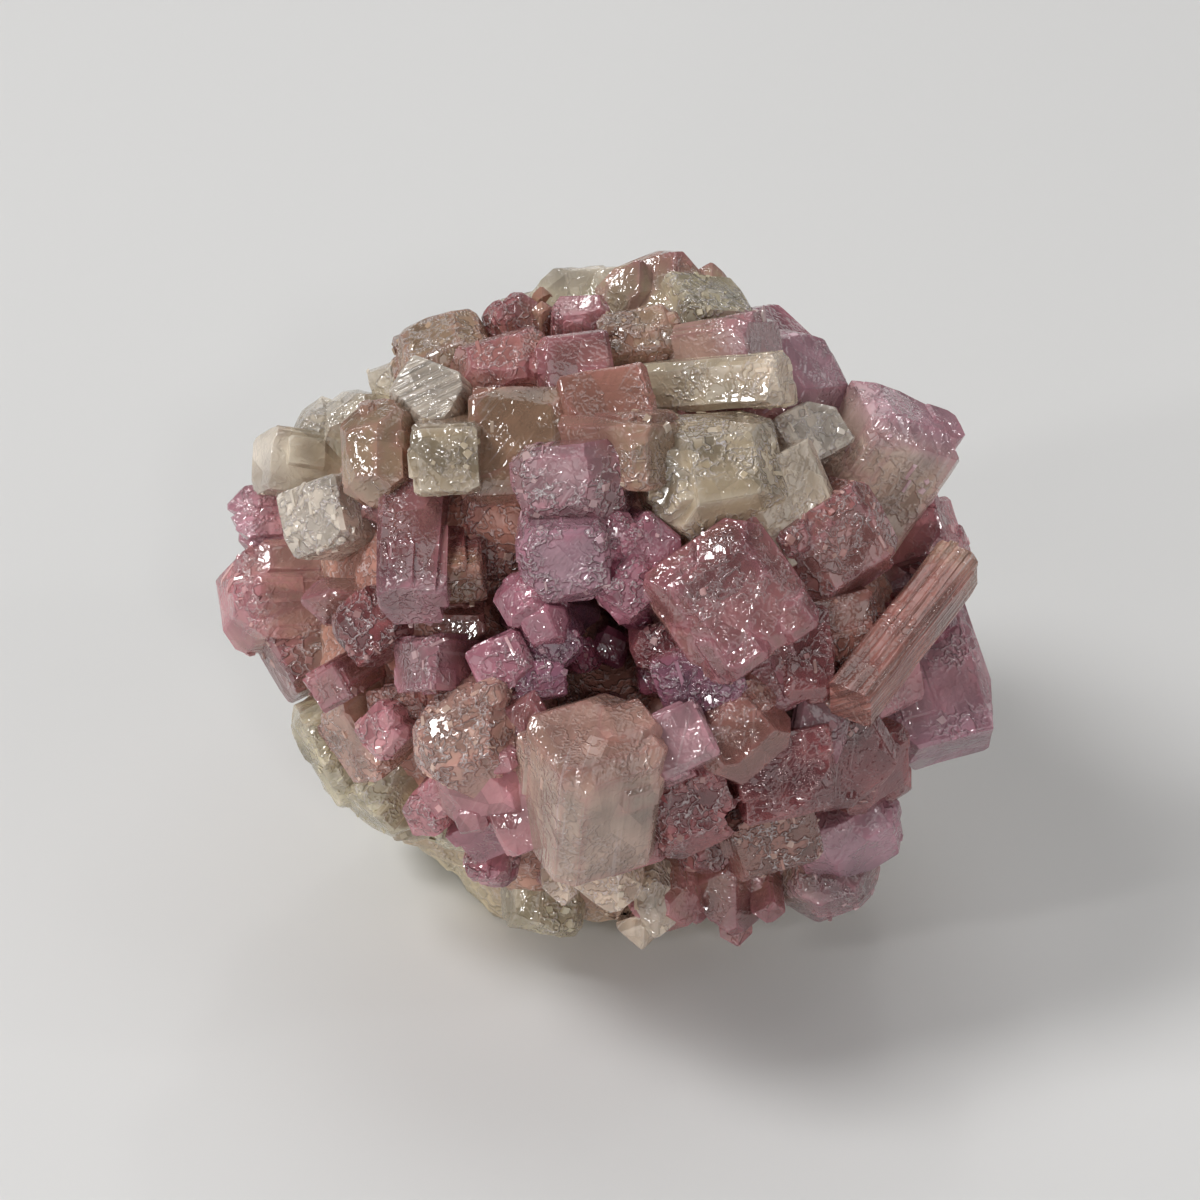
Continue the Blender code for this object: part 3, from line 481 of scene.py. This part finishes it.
class Piece:
    # Gathers the crystals of one kind as points, faces and what the materials read at each point

    def __init__(self, name, rim):
        self.rim = rim
        self.name = name
        self.points = []
        self.faces = []
        self.tint = []
        self.grain = []
        self.marks = []
        self.flakes = []

    def add(self, name, tip, aim, width, depth, length, twist, habit, bodyTint, tipTint):
        body, planes = crystalForm(name, width, depth, length, habit)
        chip(body, planes, name, width)
        rounded(body, growth["edgeRound"])
        if width >= growth["ledgeFrom"] and habit != "lump":
            ribbed = marks.get(name, (0, 0))[1] >= growth["ribFrom"]
            ledges = bmesh.new()
            for ledge, shift, *size, ledgeHabit in ledgesOn(name, width, depth, length, habit, ribbed):
                form, formPlanes = crystalForm(ledge, *size, ledgeHabit)
                chip(form, formPlanes, ledge, size[0])
                rounded(form, growth["edgeRound"])
                bmesh.ops.translate(form, verts=form.verts[:], vec=shift)
                mesh = bpy.data.meshes.new("ledge")
                form.to_mesh(mesh)
                form.free()
                ledges.from_mesh(mesh)
                bpy.data.meshes.remove(mesh)
            body = united(body, ledges)
        toWorld = Matrix.Translation(tip) @ facing(aim, twist).to_4x4()
        refine(body, toWorld, growth["meshSize"])
        self.addForm(name, tip, toWorld, body, habit, bodyTint, tipTint)

    def addForm(self, name, tip, toWorld, bm, habit, bodyTint, tipTint):
        bm.normal_update()
        rng = random.Random("finish " + name)
        offset = Vector([rng.uniform(0, 50) for _ in range(3)])
        shade = rng.uniform(*growth["shade"])
        near = nearbyTint(Vector(tip))
        body = tintOf(bodyTint).lerp(near, growth["bleed"]) * shade
        end = tintOf(tipTint).lerp(near, growth["bleed"] * 0.5) * shade
        rimTint = tintOf(self.rim)
        ownMarks = [rng.uniform(*limits) for limits in markRange]
        sparkle, lines = marks.get(name, ownMarks)
        sharp = math.radians(growth["rimAngle"])
        first = len(self.points)
        for vert in bm.verts:
            at = vert.co.copy()
            rim = 1.0 if any(edge.calc_face_angle(0.0) > sharp for edge in vert.link_edges) else 0.0
            zone = growth["tipZone"] * (1 + 0.6 * noise.noise(at * 0.7 + offset))
            towardsTip = smoothStep(1 + at.z / zone)
            place = toWorld @ at
            cloud = noise.noise(place * 0.9) + 0.5 * noise.noise(place * 2.1)
            mixed = body.lerp(end, towardsTip).lerp(rimTint, growth["rimShare"] * rim)
            # the tint is made lighter along the sharp edges as a painted highlight; the clouds are the crystal's own
            # uneven tone
            mixed = mixed * ((1 + growth["clouds"] * cloud) * (1 + growth["rimPaintedHighlight"] * rim))
            patch = smoothStep(sparkle + 2.2 * noise.noise(place * 0.8))
            if habit == "lump":
                push = growth["lumpWave"] * (noise.noise(at * 1.3 + offset) + 0.5 * noise.noise(at * 3.7 + offset))
            else:
                push = growth["wave"] * noise.noise(at * 0.9 + offset)
                streak = noise.noise(Vector((at.x * 6, at.y * 6, at.z * 0.4)) + offset)
                push += growth["ridge"] * streak * (1 - abs(vert.normal.z))
            self.points.append((toWorld @ (at + vert.normal * push)) * mm)
            self.tint.append((*mixed, 1.0))
            self.grain.append(at + offset)
            self.marks.append((sparkle * patch, lines, rim))
        self.faces.extend([first + vert.index for vert in face.verts] for face in bm.faces)
        self.addFlakes(bm, toWorld, rng, sparkle, end)
        bm.free()

    def addFlakes(self, bm, toWorld, rng, sparkle, tint):
        for face in bm.faces:
            middleOf = face.calc_center_median()
            patch = smoothStep(sparkle + 2.2 * noise.noise(toWorld @ middleOf * 0.8))
            if middleOf.z < -flakes["reachDown"] or rng.random() > face.calc_area() * sparkle * patch * flakes["perArea"]:
                continue
            self.flakes.append((toWorld, middleOf, face.normal.copy(), tint))

    def build(self, material):
        mesh = bpy.data.meshes.new(self.name)
        mesh.from_pydata(self.points, [], self.faces)
        tint = mesh.attributes.new("tint", "FLOAT_COLOR", "POINT")
        tint.data.foreach_set("color", [part for row in self.tint for part in row])
        grain = mesh.attributes.new("grain", "FLOAT_VECTOR", "POINT")
        grain.data.foreach_set("vector", [part for row in self.grain for part in row])
        marksOf = mesh.attributes.new("marks", "FLOAT_VECTOR", "POINT")
        marksOf.data.foreach_set("vector", [part for row in self.marks for part in row])
        mesh.materials.append(material)
        mesh.shade_smooth()
        mesh.set_sharp_from_angle(angle=math.radians(growth["sharpAngle"]))
        mesh.validate()
        obj = bpy.data.objects.new(self.name, mesh)
        bpy.context.scene.collection.objects.link(obj)
        return obj


def addNode(tree, kind, inputs=(), **settings):
    # A node with its settings, and its inputs set to values or joined to sockets
    node = tree.nodes.new(kind)
    for name, value in settings.items():
        setattr(node, name, value)
    for name, value in dict(inputs).items():
        if isinstance(value, bpy.types.NodeSocket):
            tree.links.new(value, node.inputs[name])
        else:
            node.inputs[name].default_value = value
    return node


def addMath(tree, operation, first, second=0.5, third=0.5):
    node = addNode(tree, "ShaderNodeMath", {0: first, 1: second, 2: third}, operation=operation)
    return node.outputs[0]


def addRange(tree, value, fromMin, fromMax, toMin, toMax):
    node = addNode(tree, "ShaderNodeMapRange", {
        "Value": value, "From Min": fromMin, "From Max": fromMax, "To Min": toMin, "To Max": toMax})
    return node.outputs["Result"]


def newGroup(name, inputs, outputs):
    group = bpy.data.node_groups.new(name, "ShaderNodeTree")
    for socket, kind in inputs.items():
        group.interface.new_socket(socket, in_out="INPUT", socket_type="NodeSocket" + kind)
    for socket, kind in outputs.items():
        group.interface.new_socket(socket, in_out="OUTPUT", socket_type="NodeSocket" + kind)
    return group, group.nodes.new("NodeGroupInput").outputs, group.nodes.new("NodeGroupOutput").inputs


def brokenCells(tree, vector):
    # Columns with a chance value each, and a height that tilts each of them as a narrow flat face of its own
    cells = addNode(tree, "ShaderNodeTexVoronoi", {"Vector": vector, "Scale": 1.0}, voronoi_dimensions="2D")
    inCell = addNode(tree, "ShaderNodeVectorMath", {0: vector, 1: cells.outputs["Position"]}, operation="SUBTRACT")
    tilt = addNode(tree, "ShaderNodeVectorMath", {0: cells.outputs["Color"], 1: (0.5, 0.5, 0.5)},
                   operation="SUBTRACT")
    height = addNode(tree, "ShaderNodeVectorMath", {0: inCell.outputs[0], 1: tilt.outputs[0]},
                     operation="DOT_PRODUCT").outputs["Value"]
    chance = addNode(tree, "ShaderNodeSeparateColor", {"Color": cells.outputs["Color"]}).outputs["Red"]
    return chance, height


def around(tree, value, low, high, amount):
    # 1 on average, less and more by the amount as the value goes from low to high
    return addRange(tree, value, low, high, addMath(tree, "SUBTRACT", 1.0, amount), addMath(tree, "ADD", 1.0, amount))


def growthPattern():
    # Painted reflections in patches, lines along the crystal with painted highlights, and crinkles in its faces with
    # painted shade and highlights: their colour, and the height for its bump
    group, given, out = newGroup(
        "growthPattern",
        {"Tint": "Color", "Grain": "Vector", "Sparkle": "Float", "Lines": "Float",
         "PaintedReflectionPatches": "Float", "Streaks": "Float", "Facets": "Float", "Crinkle": "Float"},
        {"Color": "Color", "Frost": "Float", "Height": "Float"})
    grain = given["Grain"]
    turned = addNode(group, "ShaderNodeVectorRotate", {"Vector": grain, "Angle": math.radians(40)},
                     rotation_type="Z_AXIS").outputs[0]

    leaning = addNode(group, "ShaderNodeVectorRotate", {
        "Vector": grain, "Axis": (1.0, 0.6, 0.0), "Angle": math.radians(28)}).outputs[0]
    flat = addNode(group, "ShaderNodeVectorMath", {0: leaning, 1: (1.5, 1.5, 0.0)}, operation="MULTIPLY")
    chance, tilted = brokenCells(group, flat.outputs[0])
    # painted reflection: each tilted cell is made lighter or darker by its chance value
    paintedReflection = around(group, chance, 0.0, 1.0, given["PaintedReflectionPatches"])

    lined = addNode(group, "ShaderNodeVectorMath", {0: turned, 1: (9.0, 0.5, 0.3)}, operation="MULTIPLY")
    streak = addNode(group, "ShaderNodeTexNoise", {
        "Vector": lined.outputs[0], "Scale": 1.0, "Detail": 1.0, "Roughness": 0.6}).outputs["Fac"]
    streaks = around(group, streak, 0.35, 0.65, addMath(group, "MULTIPLY", given["Streaks"], given["Lines"]))

    crumpled = addNode(group, "ShaderNodeTexNoise", {
        "Vector": grain, "Scale": 2.9, "Detail": 2.0, "Roughness": 0.6}).outputs["Fac"]
    crease = addMath(group, "ABSOLUTE", addMath(group, "SUBTRACT", crumpled, 0.5))
    creases = addRange(group, crease, 0.0, 0.09, 1.0, 0.0)
    # painted shade and light: the crinkles are darker on one side and lighter on the other
    paintedCrinkleShade = around(group, crumpled, 0.35, 0.65, addMath(group, "MULTIPLY", given["Sparkle"], 0.3))

    # painted crinkle shade times the painted reflection patches times the streaks' own tone
    shade = addMath(group, "MULTIPLY", addMath(group, "MULTIPLY", paintedCrinkleShade, paintedReflection), streaks)
    body = addNode(group, "ShaderNodeVectorMath", {0: given["Tint"], "Scale": shade}, operation="SCALE")
    # painted highlights: thin near-white lines on the crinkle creases and on the peaks of the streaks
    creaseHighlight = addMath(group, "MULTIPLY", addRange(group, crease, 0.0, 0.028, 1.0, 0.0), given["Sparkle"])
    streakHighlight = addMath(group, "MULTIPLY", addRange(group, streak, 0.66, 0.72, 0.0, 0.5),
                         addMath(group, "MINIMUM", given["Lines"], 1.0))
    highlighted = addNode(group, "ShaderNodeMix", {
        "Factor": addMath(group, "MAXIMUM", creaseHighlight, streakHighlight), 6: body.outputs[0], 7: (0.95, 0.86, 0.86, 1.0)},
        data_type="RGBA")
    group.links.new(highlighted.outputs[2], out["Color"])
    group.links.new(given["Sparkle"], out["Frost"])

    height = addMath(group, "MULTIPLY", streak, given["Lines"])
    height = addMath(group, "MULTIPLY_ADD", tilted, given["Facets"], height)
    crinkled = addMath(group, "MULTIPLY", creases, addMath(group, "MULTIPLY_ADD", given["Sparkle"], given["Crinkle"], 0.2))
    group.links.new(addMath(group, "ADD", crinkled, height), out["Height"])
    return group


def crystalMaterial(name, look, pattern):
    material = bpy.data.materials.new(name)
    material.use_nodes = True
    tree = material.node_tree
    shader = tree.nodes["Principled BSDF"]
    tint = addNode(tree, "ShaderNodeAttribute", attribute_name="tint")
    grain = addNode(tree, "ShaderNodeAttribute", attribute_name="grain")
    ownMarks = addNode(tree, "ShaderNodeAttribute", attribute_name="marks")
    split = addNode(tree, "ShaderNodeSeparateXYZ", {"Vector": ownMarks.outputs["Vector"]})
    growthNode = addNode(tree, "ShaderNodeGroup", node_tree=pattern)
    for socket, value in {
            "Tint": tint.outputs["Color"], "Grain": grain.outputs["Vector"],
            "Sparkle": split.outputs["X"], "Lines": split.outputs["Y"]}.items():
        tree.links.new(value, growthNode.inputs[socket])
    for socket, value in look["pattern"].items():
        growthNode.inputs[socket].default_value = value
    tree.links.new(growthNode.outputs["Color"], shader.inputs["Base Color"])
    rough = addMath(tree, "MULTIPLY_ADD", growthNode.outputs["Frost"], look["frostRoughness"], look["roughness"])
    tree.links.new(rough, shader.inputs["Roughness"])
    bump = addNode(tree, "ShaderNodeBump", {
        "Strength": look["bump"], "Distance": 0.04 * mm, "Height": growthNode.outputs["Height"]})
    tree.links.new(bump.outputs[0], shader.inputs["Normal"])
    shader.inputs["IOR"].default_value = look["ior"]
    shader.inputs["Specular IOR Level"].default_value = look["shine"]
    shader.inputs["Transmission Weight"].default_value = look["seeThrough"]
    return material


# PaintedReflectionPatches sets how much lighter or darker each cell is painted, as a painted reflection
basePattern = {"PaintedReflectionPatches": 0.12, "Streaks": 0.10, "Facets": 5.0, "Crinkle": 1.7}
frostyPattern = {"PaintedReflectionPatches": 0.16, "Streaks": 0.10, "Facets": 6.0, "Crinkle": 1.1}
baseLook = {"roughness": 0.05, "frostRoughness": 0.04, "bump": 1.0, "ior": 1.71, "shine": 0.85, "seeThrough": 0.52,
            "pattern": basePattern}
frostyLook = {"roughness": 0.07, "frostRoughness": 0.08, "bump": 1.0, "ior": 1.71, "shine": 0.85, "seeThrough": 0.5,
              "pattern": frostyPattern}

pieces = {
    "greenCrystals": {"tips": ("paleGreen", "frost", "cream", "greyGreen"), "rim": "frost", "look": frostyLook},
    "khakiCrystals": {"tips": ("khaki", "tan", "olive"), "rim": "rose", "look": baseLook},
    "maroonCrystals": {"tips": ("maroon", "plum", "brown", "hollow"), "rim": "rose", "look": baseLook},
    "mauveCrystals": {"tips": ("mauve", "greyLilac"), "rim": "pinkRim", "look": baseLook},
    "pinkCrystals": {"tips": ("pink", "rose", "purplePink"), "rim": "pinkRim", "look": baseLook},
    "purpleCrystals": {"tips": ("lilac", "purple", "magenta"), "rim": "pinkRim",
                       "look": baseLook},
}
matrixLook = {"roughness": 0.35, "frostRoughness": 0.1, "bump": 1.0, "ior": 1.6, "shine": 0.5, "seeThrough": 0.15,
              "pattern": basePattern}
flakeLook = {"roughness": 0.1, "frostRoughness": 0.0, "bump": 0.3, "ior": 1.71, "shine": 0.85, "seeThrough": 0.25,
             "pattern": {"PaintedReflectionPatches": 0.1, "Streaks": 0.0, "Facets": 2.0, "Crinkle": 0.5}}


def pieceFor(tipTint):
    return next(name for name, piece in pieces.items() if tipTint in piece["tips"])


def addListed(made):
    tips = []
    for name, seen, aim, width, depth, length, twist, habit, body, tip in crystals:
        at = seenAt(*seen)
        tips.append(at)
        row = (name, at, towards(*aim), width, depth, length, twist, habit, body, tip)
        made[pieceFor(tip)].add(*row)
    for number, (seen, aim, width, twist) in enumerate(hollowCrystals, 1):
        at = seenAt(*seen)
        tips.append(at)
        # the hollow crystals' dark body tint is partly painted shade
        row = (f"hollow_{number}", at, towards(*aim), width, width, hollowLength, twist, "bevelled", "hollow", "magenta")
        made["purpleCrystals"].add(*row)
    return tips


def spreadDirections(count):
    goldenAngle = math.pi * (3 - math.sqrt(5))
    for index in range(count):
        height = 1 - (2 * index + 1) / count
        ring = math.sqrt(1 - height * height)
        yield Vector((ring * math.cos(index * goldenAngle), ring * math.sin(index * goldenAngle), height))


def closesHollow(place):
    return any((place - seenAt(*mouth)).length < cluster["mouthClearance"] for mouth, _, _ in cluster["hollows"])


def addSpread(made, tips):
    rng = random.Random("spread")
    choice = random.Random("tints")
    for number, direction in enumerate(spreadDirections(filling["count"])):
        shorter = rng.uniform(*filling["reach"])
        wideShare = rng.random()
        tilt = Vector([rng.uniform(-filling["tilt"], filling["tilt"]) for _ in range(3)])
        rough = rng.random() < filling["roughShare"]
        twist = rng.uniform(0, 90)
        place = middle + direction * ellipsoidReach(direction, dome) * shorter
        front = nearness(place) > filling["frontNear"]
        low, high = filling["frontWidth"] if front else filling["sideWidth"]
        width = low + (high - low) * wideShare
        if nearness(place) > filling["rimNear"]:
            place = middle + (place - middle) * filling["rimShare"]
        onFoot = coreAt(direction, filling["footLump"])
        if direction.z < filling["footBelow"] and onFoot.z < place.z:
            place = onFoot
            rough = True
        gap = min((place - tip).length for tip in tips)
        least = filling["frontGap"] if front else filling["sideGap"]
        if gap < least or closesHollow(place) or place.z < filling["lowestTip"]:
            continue
        outward = Vector([part / radius ** 2 for part, radius in zip(direction, dome)]).normalized()
        habit = "lump" if rough and not front else filling["habits"][number % len(filling["habits"])]
        kind = "frontTints" if front else "roughTints" if habit == "lump" else "sideTints"
        body, tip = choice.choice(filling[kind])
        row = (f"spread_{number}", place, (outward + tilt).normalized(), width, width * filling["depth"],
               filling["length"], twist, habit, body, tip)
        made[pieceFor(tip)].add(*row)


def addFlake(piece, rng, toWorld, at, normal, tint):
    # A thin plate with four uneven corners, its lower side sunk into the face
    tilt = Vector([rng.uniform(-flakes["tilt"], flakes["tilt"]) for _ in range(3)])
    up = (normal + tilt).normalized()
    size = rng.uniform(*flakes["size"])
    longer = 1.0
    across = normal.cross(Vector((rng.uniform(-1, 1), rng.uniform(-1, 1), rng.uniform(-1, 1)))).normalized()
    if rng.random() < flakes["splinterShare"]:
        longer = rng.uniform(*flakes["splinter"])
        size *= 0.5
        across = Vector((normal.y, -normal.x, 0.0))
        across = across.normalized() if across.length > 0.1 else Vector((1.0, 0.0, 0.0))
        up = (normal + tilt * 0.4).normalized()
    along = up.cross(across).normalized()
    across = along.cross(up)
    thick = rng.uniform(*flakes["thickness"])
    first = len(piece.points)
    for level, scale in ((-thick, 1.0), (thick, 0.8)):
        for corner in range(4):
            angle = math.radians(90 * corner + 45) + (rng.uniform(-0.4, 0.4) if level < 0 else 0.0)
            reach = size / 2 * scale
            point = at + across * math.cos(angle) * reach + along * math.sin(angle) * reach * longer + up * level
            piece.points.append((toWorld @ point) * mm)
            piece.grain.append(point + Vector((at.x * 7, at.y * 7, at.z)))
    white = rng.uniform(*flakes["whiter"])
    piece.tint.extend([(*tint.lerp(tintOf("frost"), white), 1.0)] * 8)
    piece.marks.extend([(0.0, 0.0, 0.0)] * 8)
    a, b, c, d, e, f, g, h = range(first, first + 8)
    piece.faces.extend([
        (e, f, g), (e, g, h), (a, c, b), (a, d, c), (a, b, f), (a, f, e), (b, c, g), (b, g, f), (c, d, h), (c, h, g),
        (d, a, e), (d, e, h)])


def makeMatrix(material):
    bm = bmesh.new()
    bmesh.ops.create_icosphere(bm, subdivisions=7, radius=1.0)
    tint = []
    for vert in bm.verts:
        direction = vert.co.normalized()
        at = coreAt(direction)
        grains = noise.noise(at * 1.6) * 0.16 + abs(noise.noise(at * 4.0)) * 0.10
        vert.co = (at + direction * grains) * mm
        front = smoothStep(0.5 + direction.dot(nearWay) * 1.2)
        tint.append((*tintOf("paleGreen").lerp(tintOf("brown"), front), 1.0))
    mesh = bpy.data.meshes.new("paleMatrix")
    bm.to_mesh(mesh)
    bm.free()
    colour = mesh.attributes.new("tint", "FLOAT_COLOR", "POINT")
    colour.data.foreach_set("color", [part for row in tint for part in row])
    grain = mesh.attributes.new("grain", "FLOAT_VECTOR", "POINT")
    grain.data.foreach_set("vector", [part / mm for vert in mesh.vertices for part in vert.co])
    marksOf = mesh.attributes.new("marks", "FLOAT_VECTOR", "POINT")
    marksOf.data.foreach_set("vector", (0.5, 0.2, 0.0) * len(tint))
    bm = bmesh.new()
    bm.from_mesh(mesh)
    cut(bm, Vector((0.0, 0.0, 0.0)), Vector((0.0, 0.0, -1.0)))
    bmesh.ops.triangulate(bm, faces=[face for face in bm.faces if len(face.verts) > 3])
    bm.to_mesh(mesh)
    bm.free()
    mesh.shade_smooth()
    mesh.materials.append(material)
    obj = bpy.data.objects.new("paleMatrix", mesh)
    bpy.context.scene.collection.objects.link(obj)
    return obj


floorLook = {"size": 600.0, "colour": (0.72, 0.715, 0.705, 1.0), "roughness": 0.55}


def makeFloor():
    bm = bmesh.new()
    bmesh.ops.create_grid(bm, x_segments=1, y_segments=1, size=floorLook["size"] / 2 * mm)
    mesh = bpy.data.meshes.new("floor")
    bm.to_mesh(mesh)
    bm.free()
    material = bpy.data.materials.new("paleSheet")
    material.use_nodes = True
    shader = material.node_tree.nodes["Principled BSDF"]
    shader.inputs["Base Color"].default_value = floorLook["colour"]
    shader.inputs["Roughness"].default_value = floorLook["roughness"]
    mesh.materials.append(material)
    floor = bpy.data.objects.new("floor", mesh)
    bpy.context.scene.collection.objects.link(floor)


lamps = {
    "softbox": {"place": (-270.0, -20.0, 370.0), "size": 150.0, "power": 1.12},
    "windowLeft": {"place": (-300.0, -200.0, 160.0), "size": 30.0, "power": 0.22},
    "windowFront": {"place": (60.0, -330.0, 220.0), "size": 28.0, "power": 0.14},
    "windowLow": {"place": (-90.0, -330.0, 45.0), "size": 26.0, "power": 0.10},
    "windowRight": {"place": (280.0, -60.0, 200.0), "size": 26.0, "power": 0.04},
    "windowBack": {"place": (40.0, 300.0, 250.0), "size": 30.0, "power": 0.05},
}
skyStrength = 0.36


def makeLights():
    for name, lamp in lamps.items():
        light = bpy.data.lights.new(name, "AREA")
        light.size = lamp["size"] * mm
        light.energy = lamp["power"]
        obj = bpy.data.objects.new(name, light)
        obj.location = Vector(lamp["place"]) * mm
        obj.rotation_euler = (middle * mm - obj.location).to_track_quat("-Z", "Y").to_euler()
        bpy.context.scene.collection.objects.link(obj)
    world = bpy.data.worlds.new("softLight")
    world.use_nodes = True
    background = world.node_tree.nodes["Background"]
    background.inputs["Strength"].default_value = skyStrength
    around = addNode(world.node_tree, "ShaderNodeTexCoord").outputs["Generated"]
    cells = addNode(world.node_tree, "ShaderNodeTexVoronoi", {"Vector": around, "Scale": 2.6})
    chance = addNode(world.node_tree, "ShaderNodeSeparateColor", {"Color": cells.outputs["Color"]})
    panes = addRange(world.node_tree, chance.outputs["Red"], 0.78, 0.84, 0.3, 3.2)
    world.node_tree.links.new(panes, background.inputs["Color"])
    bpy.context.scene.world = world


def makeCamera():
    camera = bpy.data.cameras.new("camera")
    camera.angle = 2 * math.atan(photoView["frameWidth"] / 2 / photoView["distance"])
    camera.clip_start = 0.001
    obj = bpy.data.objects.new("camera", camera)
    obj.location = (middle + nearWay * photoView["distance"]) * mm
    obj.rotation_euler = (-nearWay).to_track_quat("-Z", "Y").to_euler()
    bpy.context.scene.collection.objects.link(obj)
    bpy.context.scene.camera = obj


scene = bpy.context.scene
scene.view_settings.view_transform = "Standard"

pattern = growthPattern()
made = {name: Piece(name, piece["rim"]) for name, piece in pieces.items()}
made["paleFlakes"] = Piece("paleFlakes", "frost")
tips = addListed(made)
addSpread(made, tips)
flakeRng = random.Random("flakes")
for name in pieces:
    for flake in made[name].flakes:
        addFlake(made["paleFlakes"], flakeRng, *flake)
print("grown:", {name: len(piece.faces) for name, piece in made.items()})
objects = []
for name in pieces:
    objects.append(made[name].build(crystalMaterial(name, pieces[name]["look"], pattern)))
objects.append(made["paleFlakes"].build(crystalMaterial("paleFlakes", flakeLook, pattern)))
objects.append(makeMatrix(crystalMaterial("paleMatrix", matrixLook, pattern)))
for obj in objects:
    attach(obj, "root")
    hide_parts("crystal_cluster")
print("pieces built:", len(objects))
makeFloor()
makeLights()
makeCamera()
print("stage set")
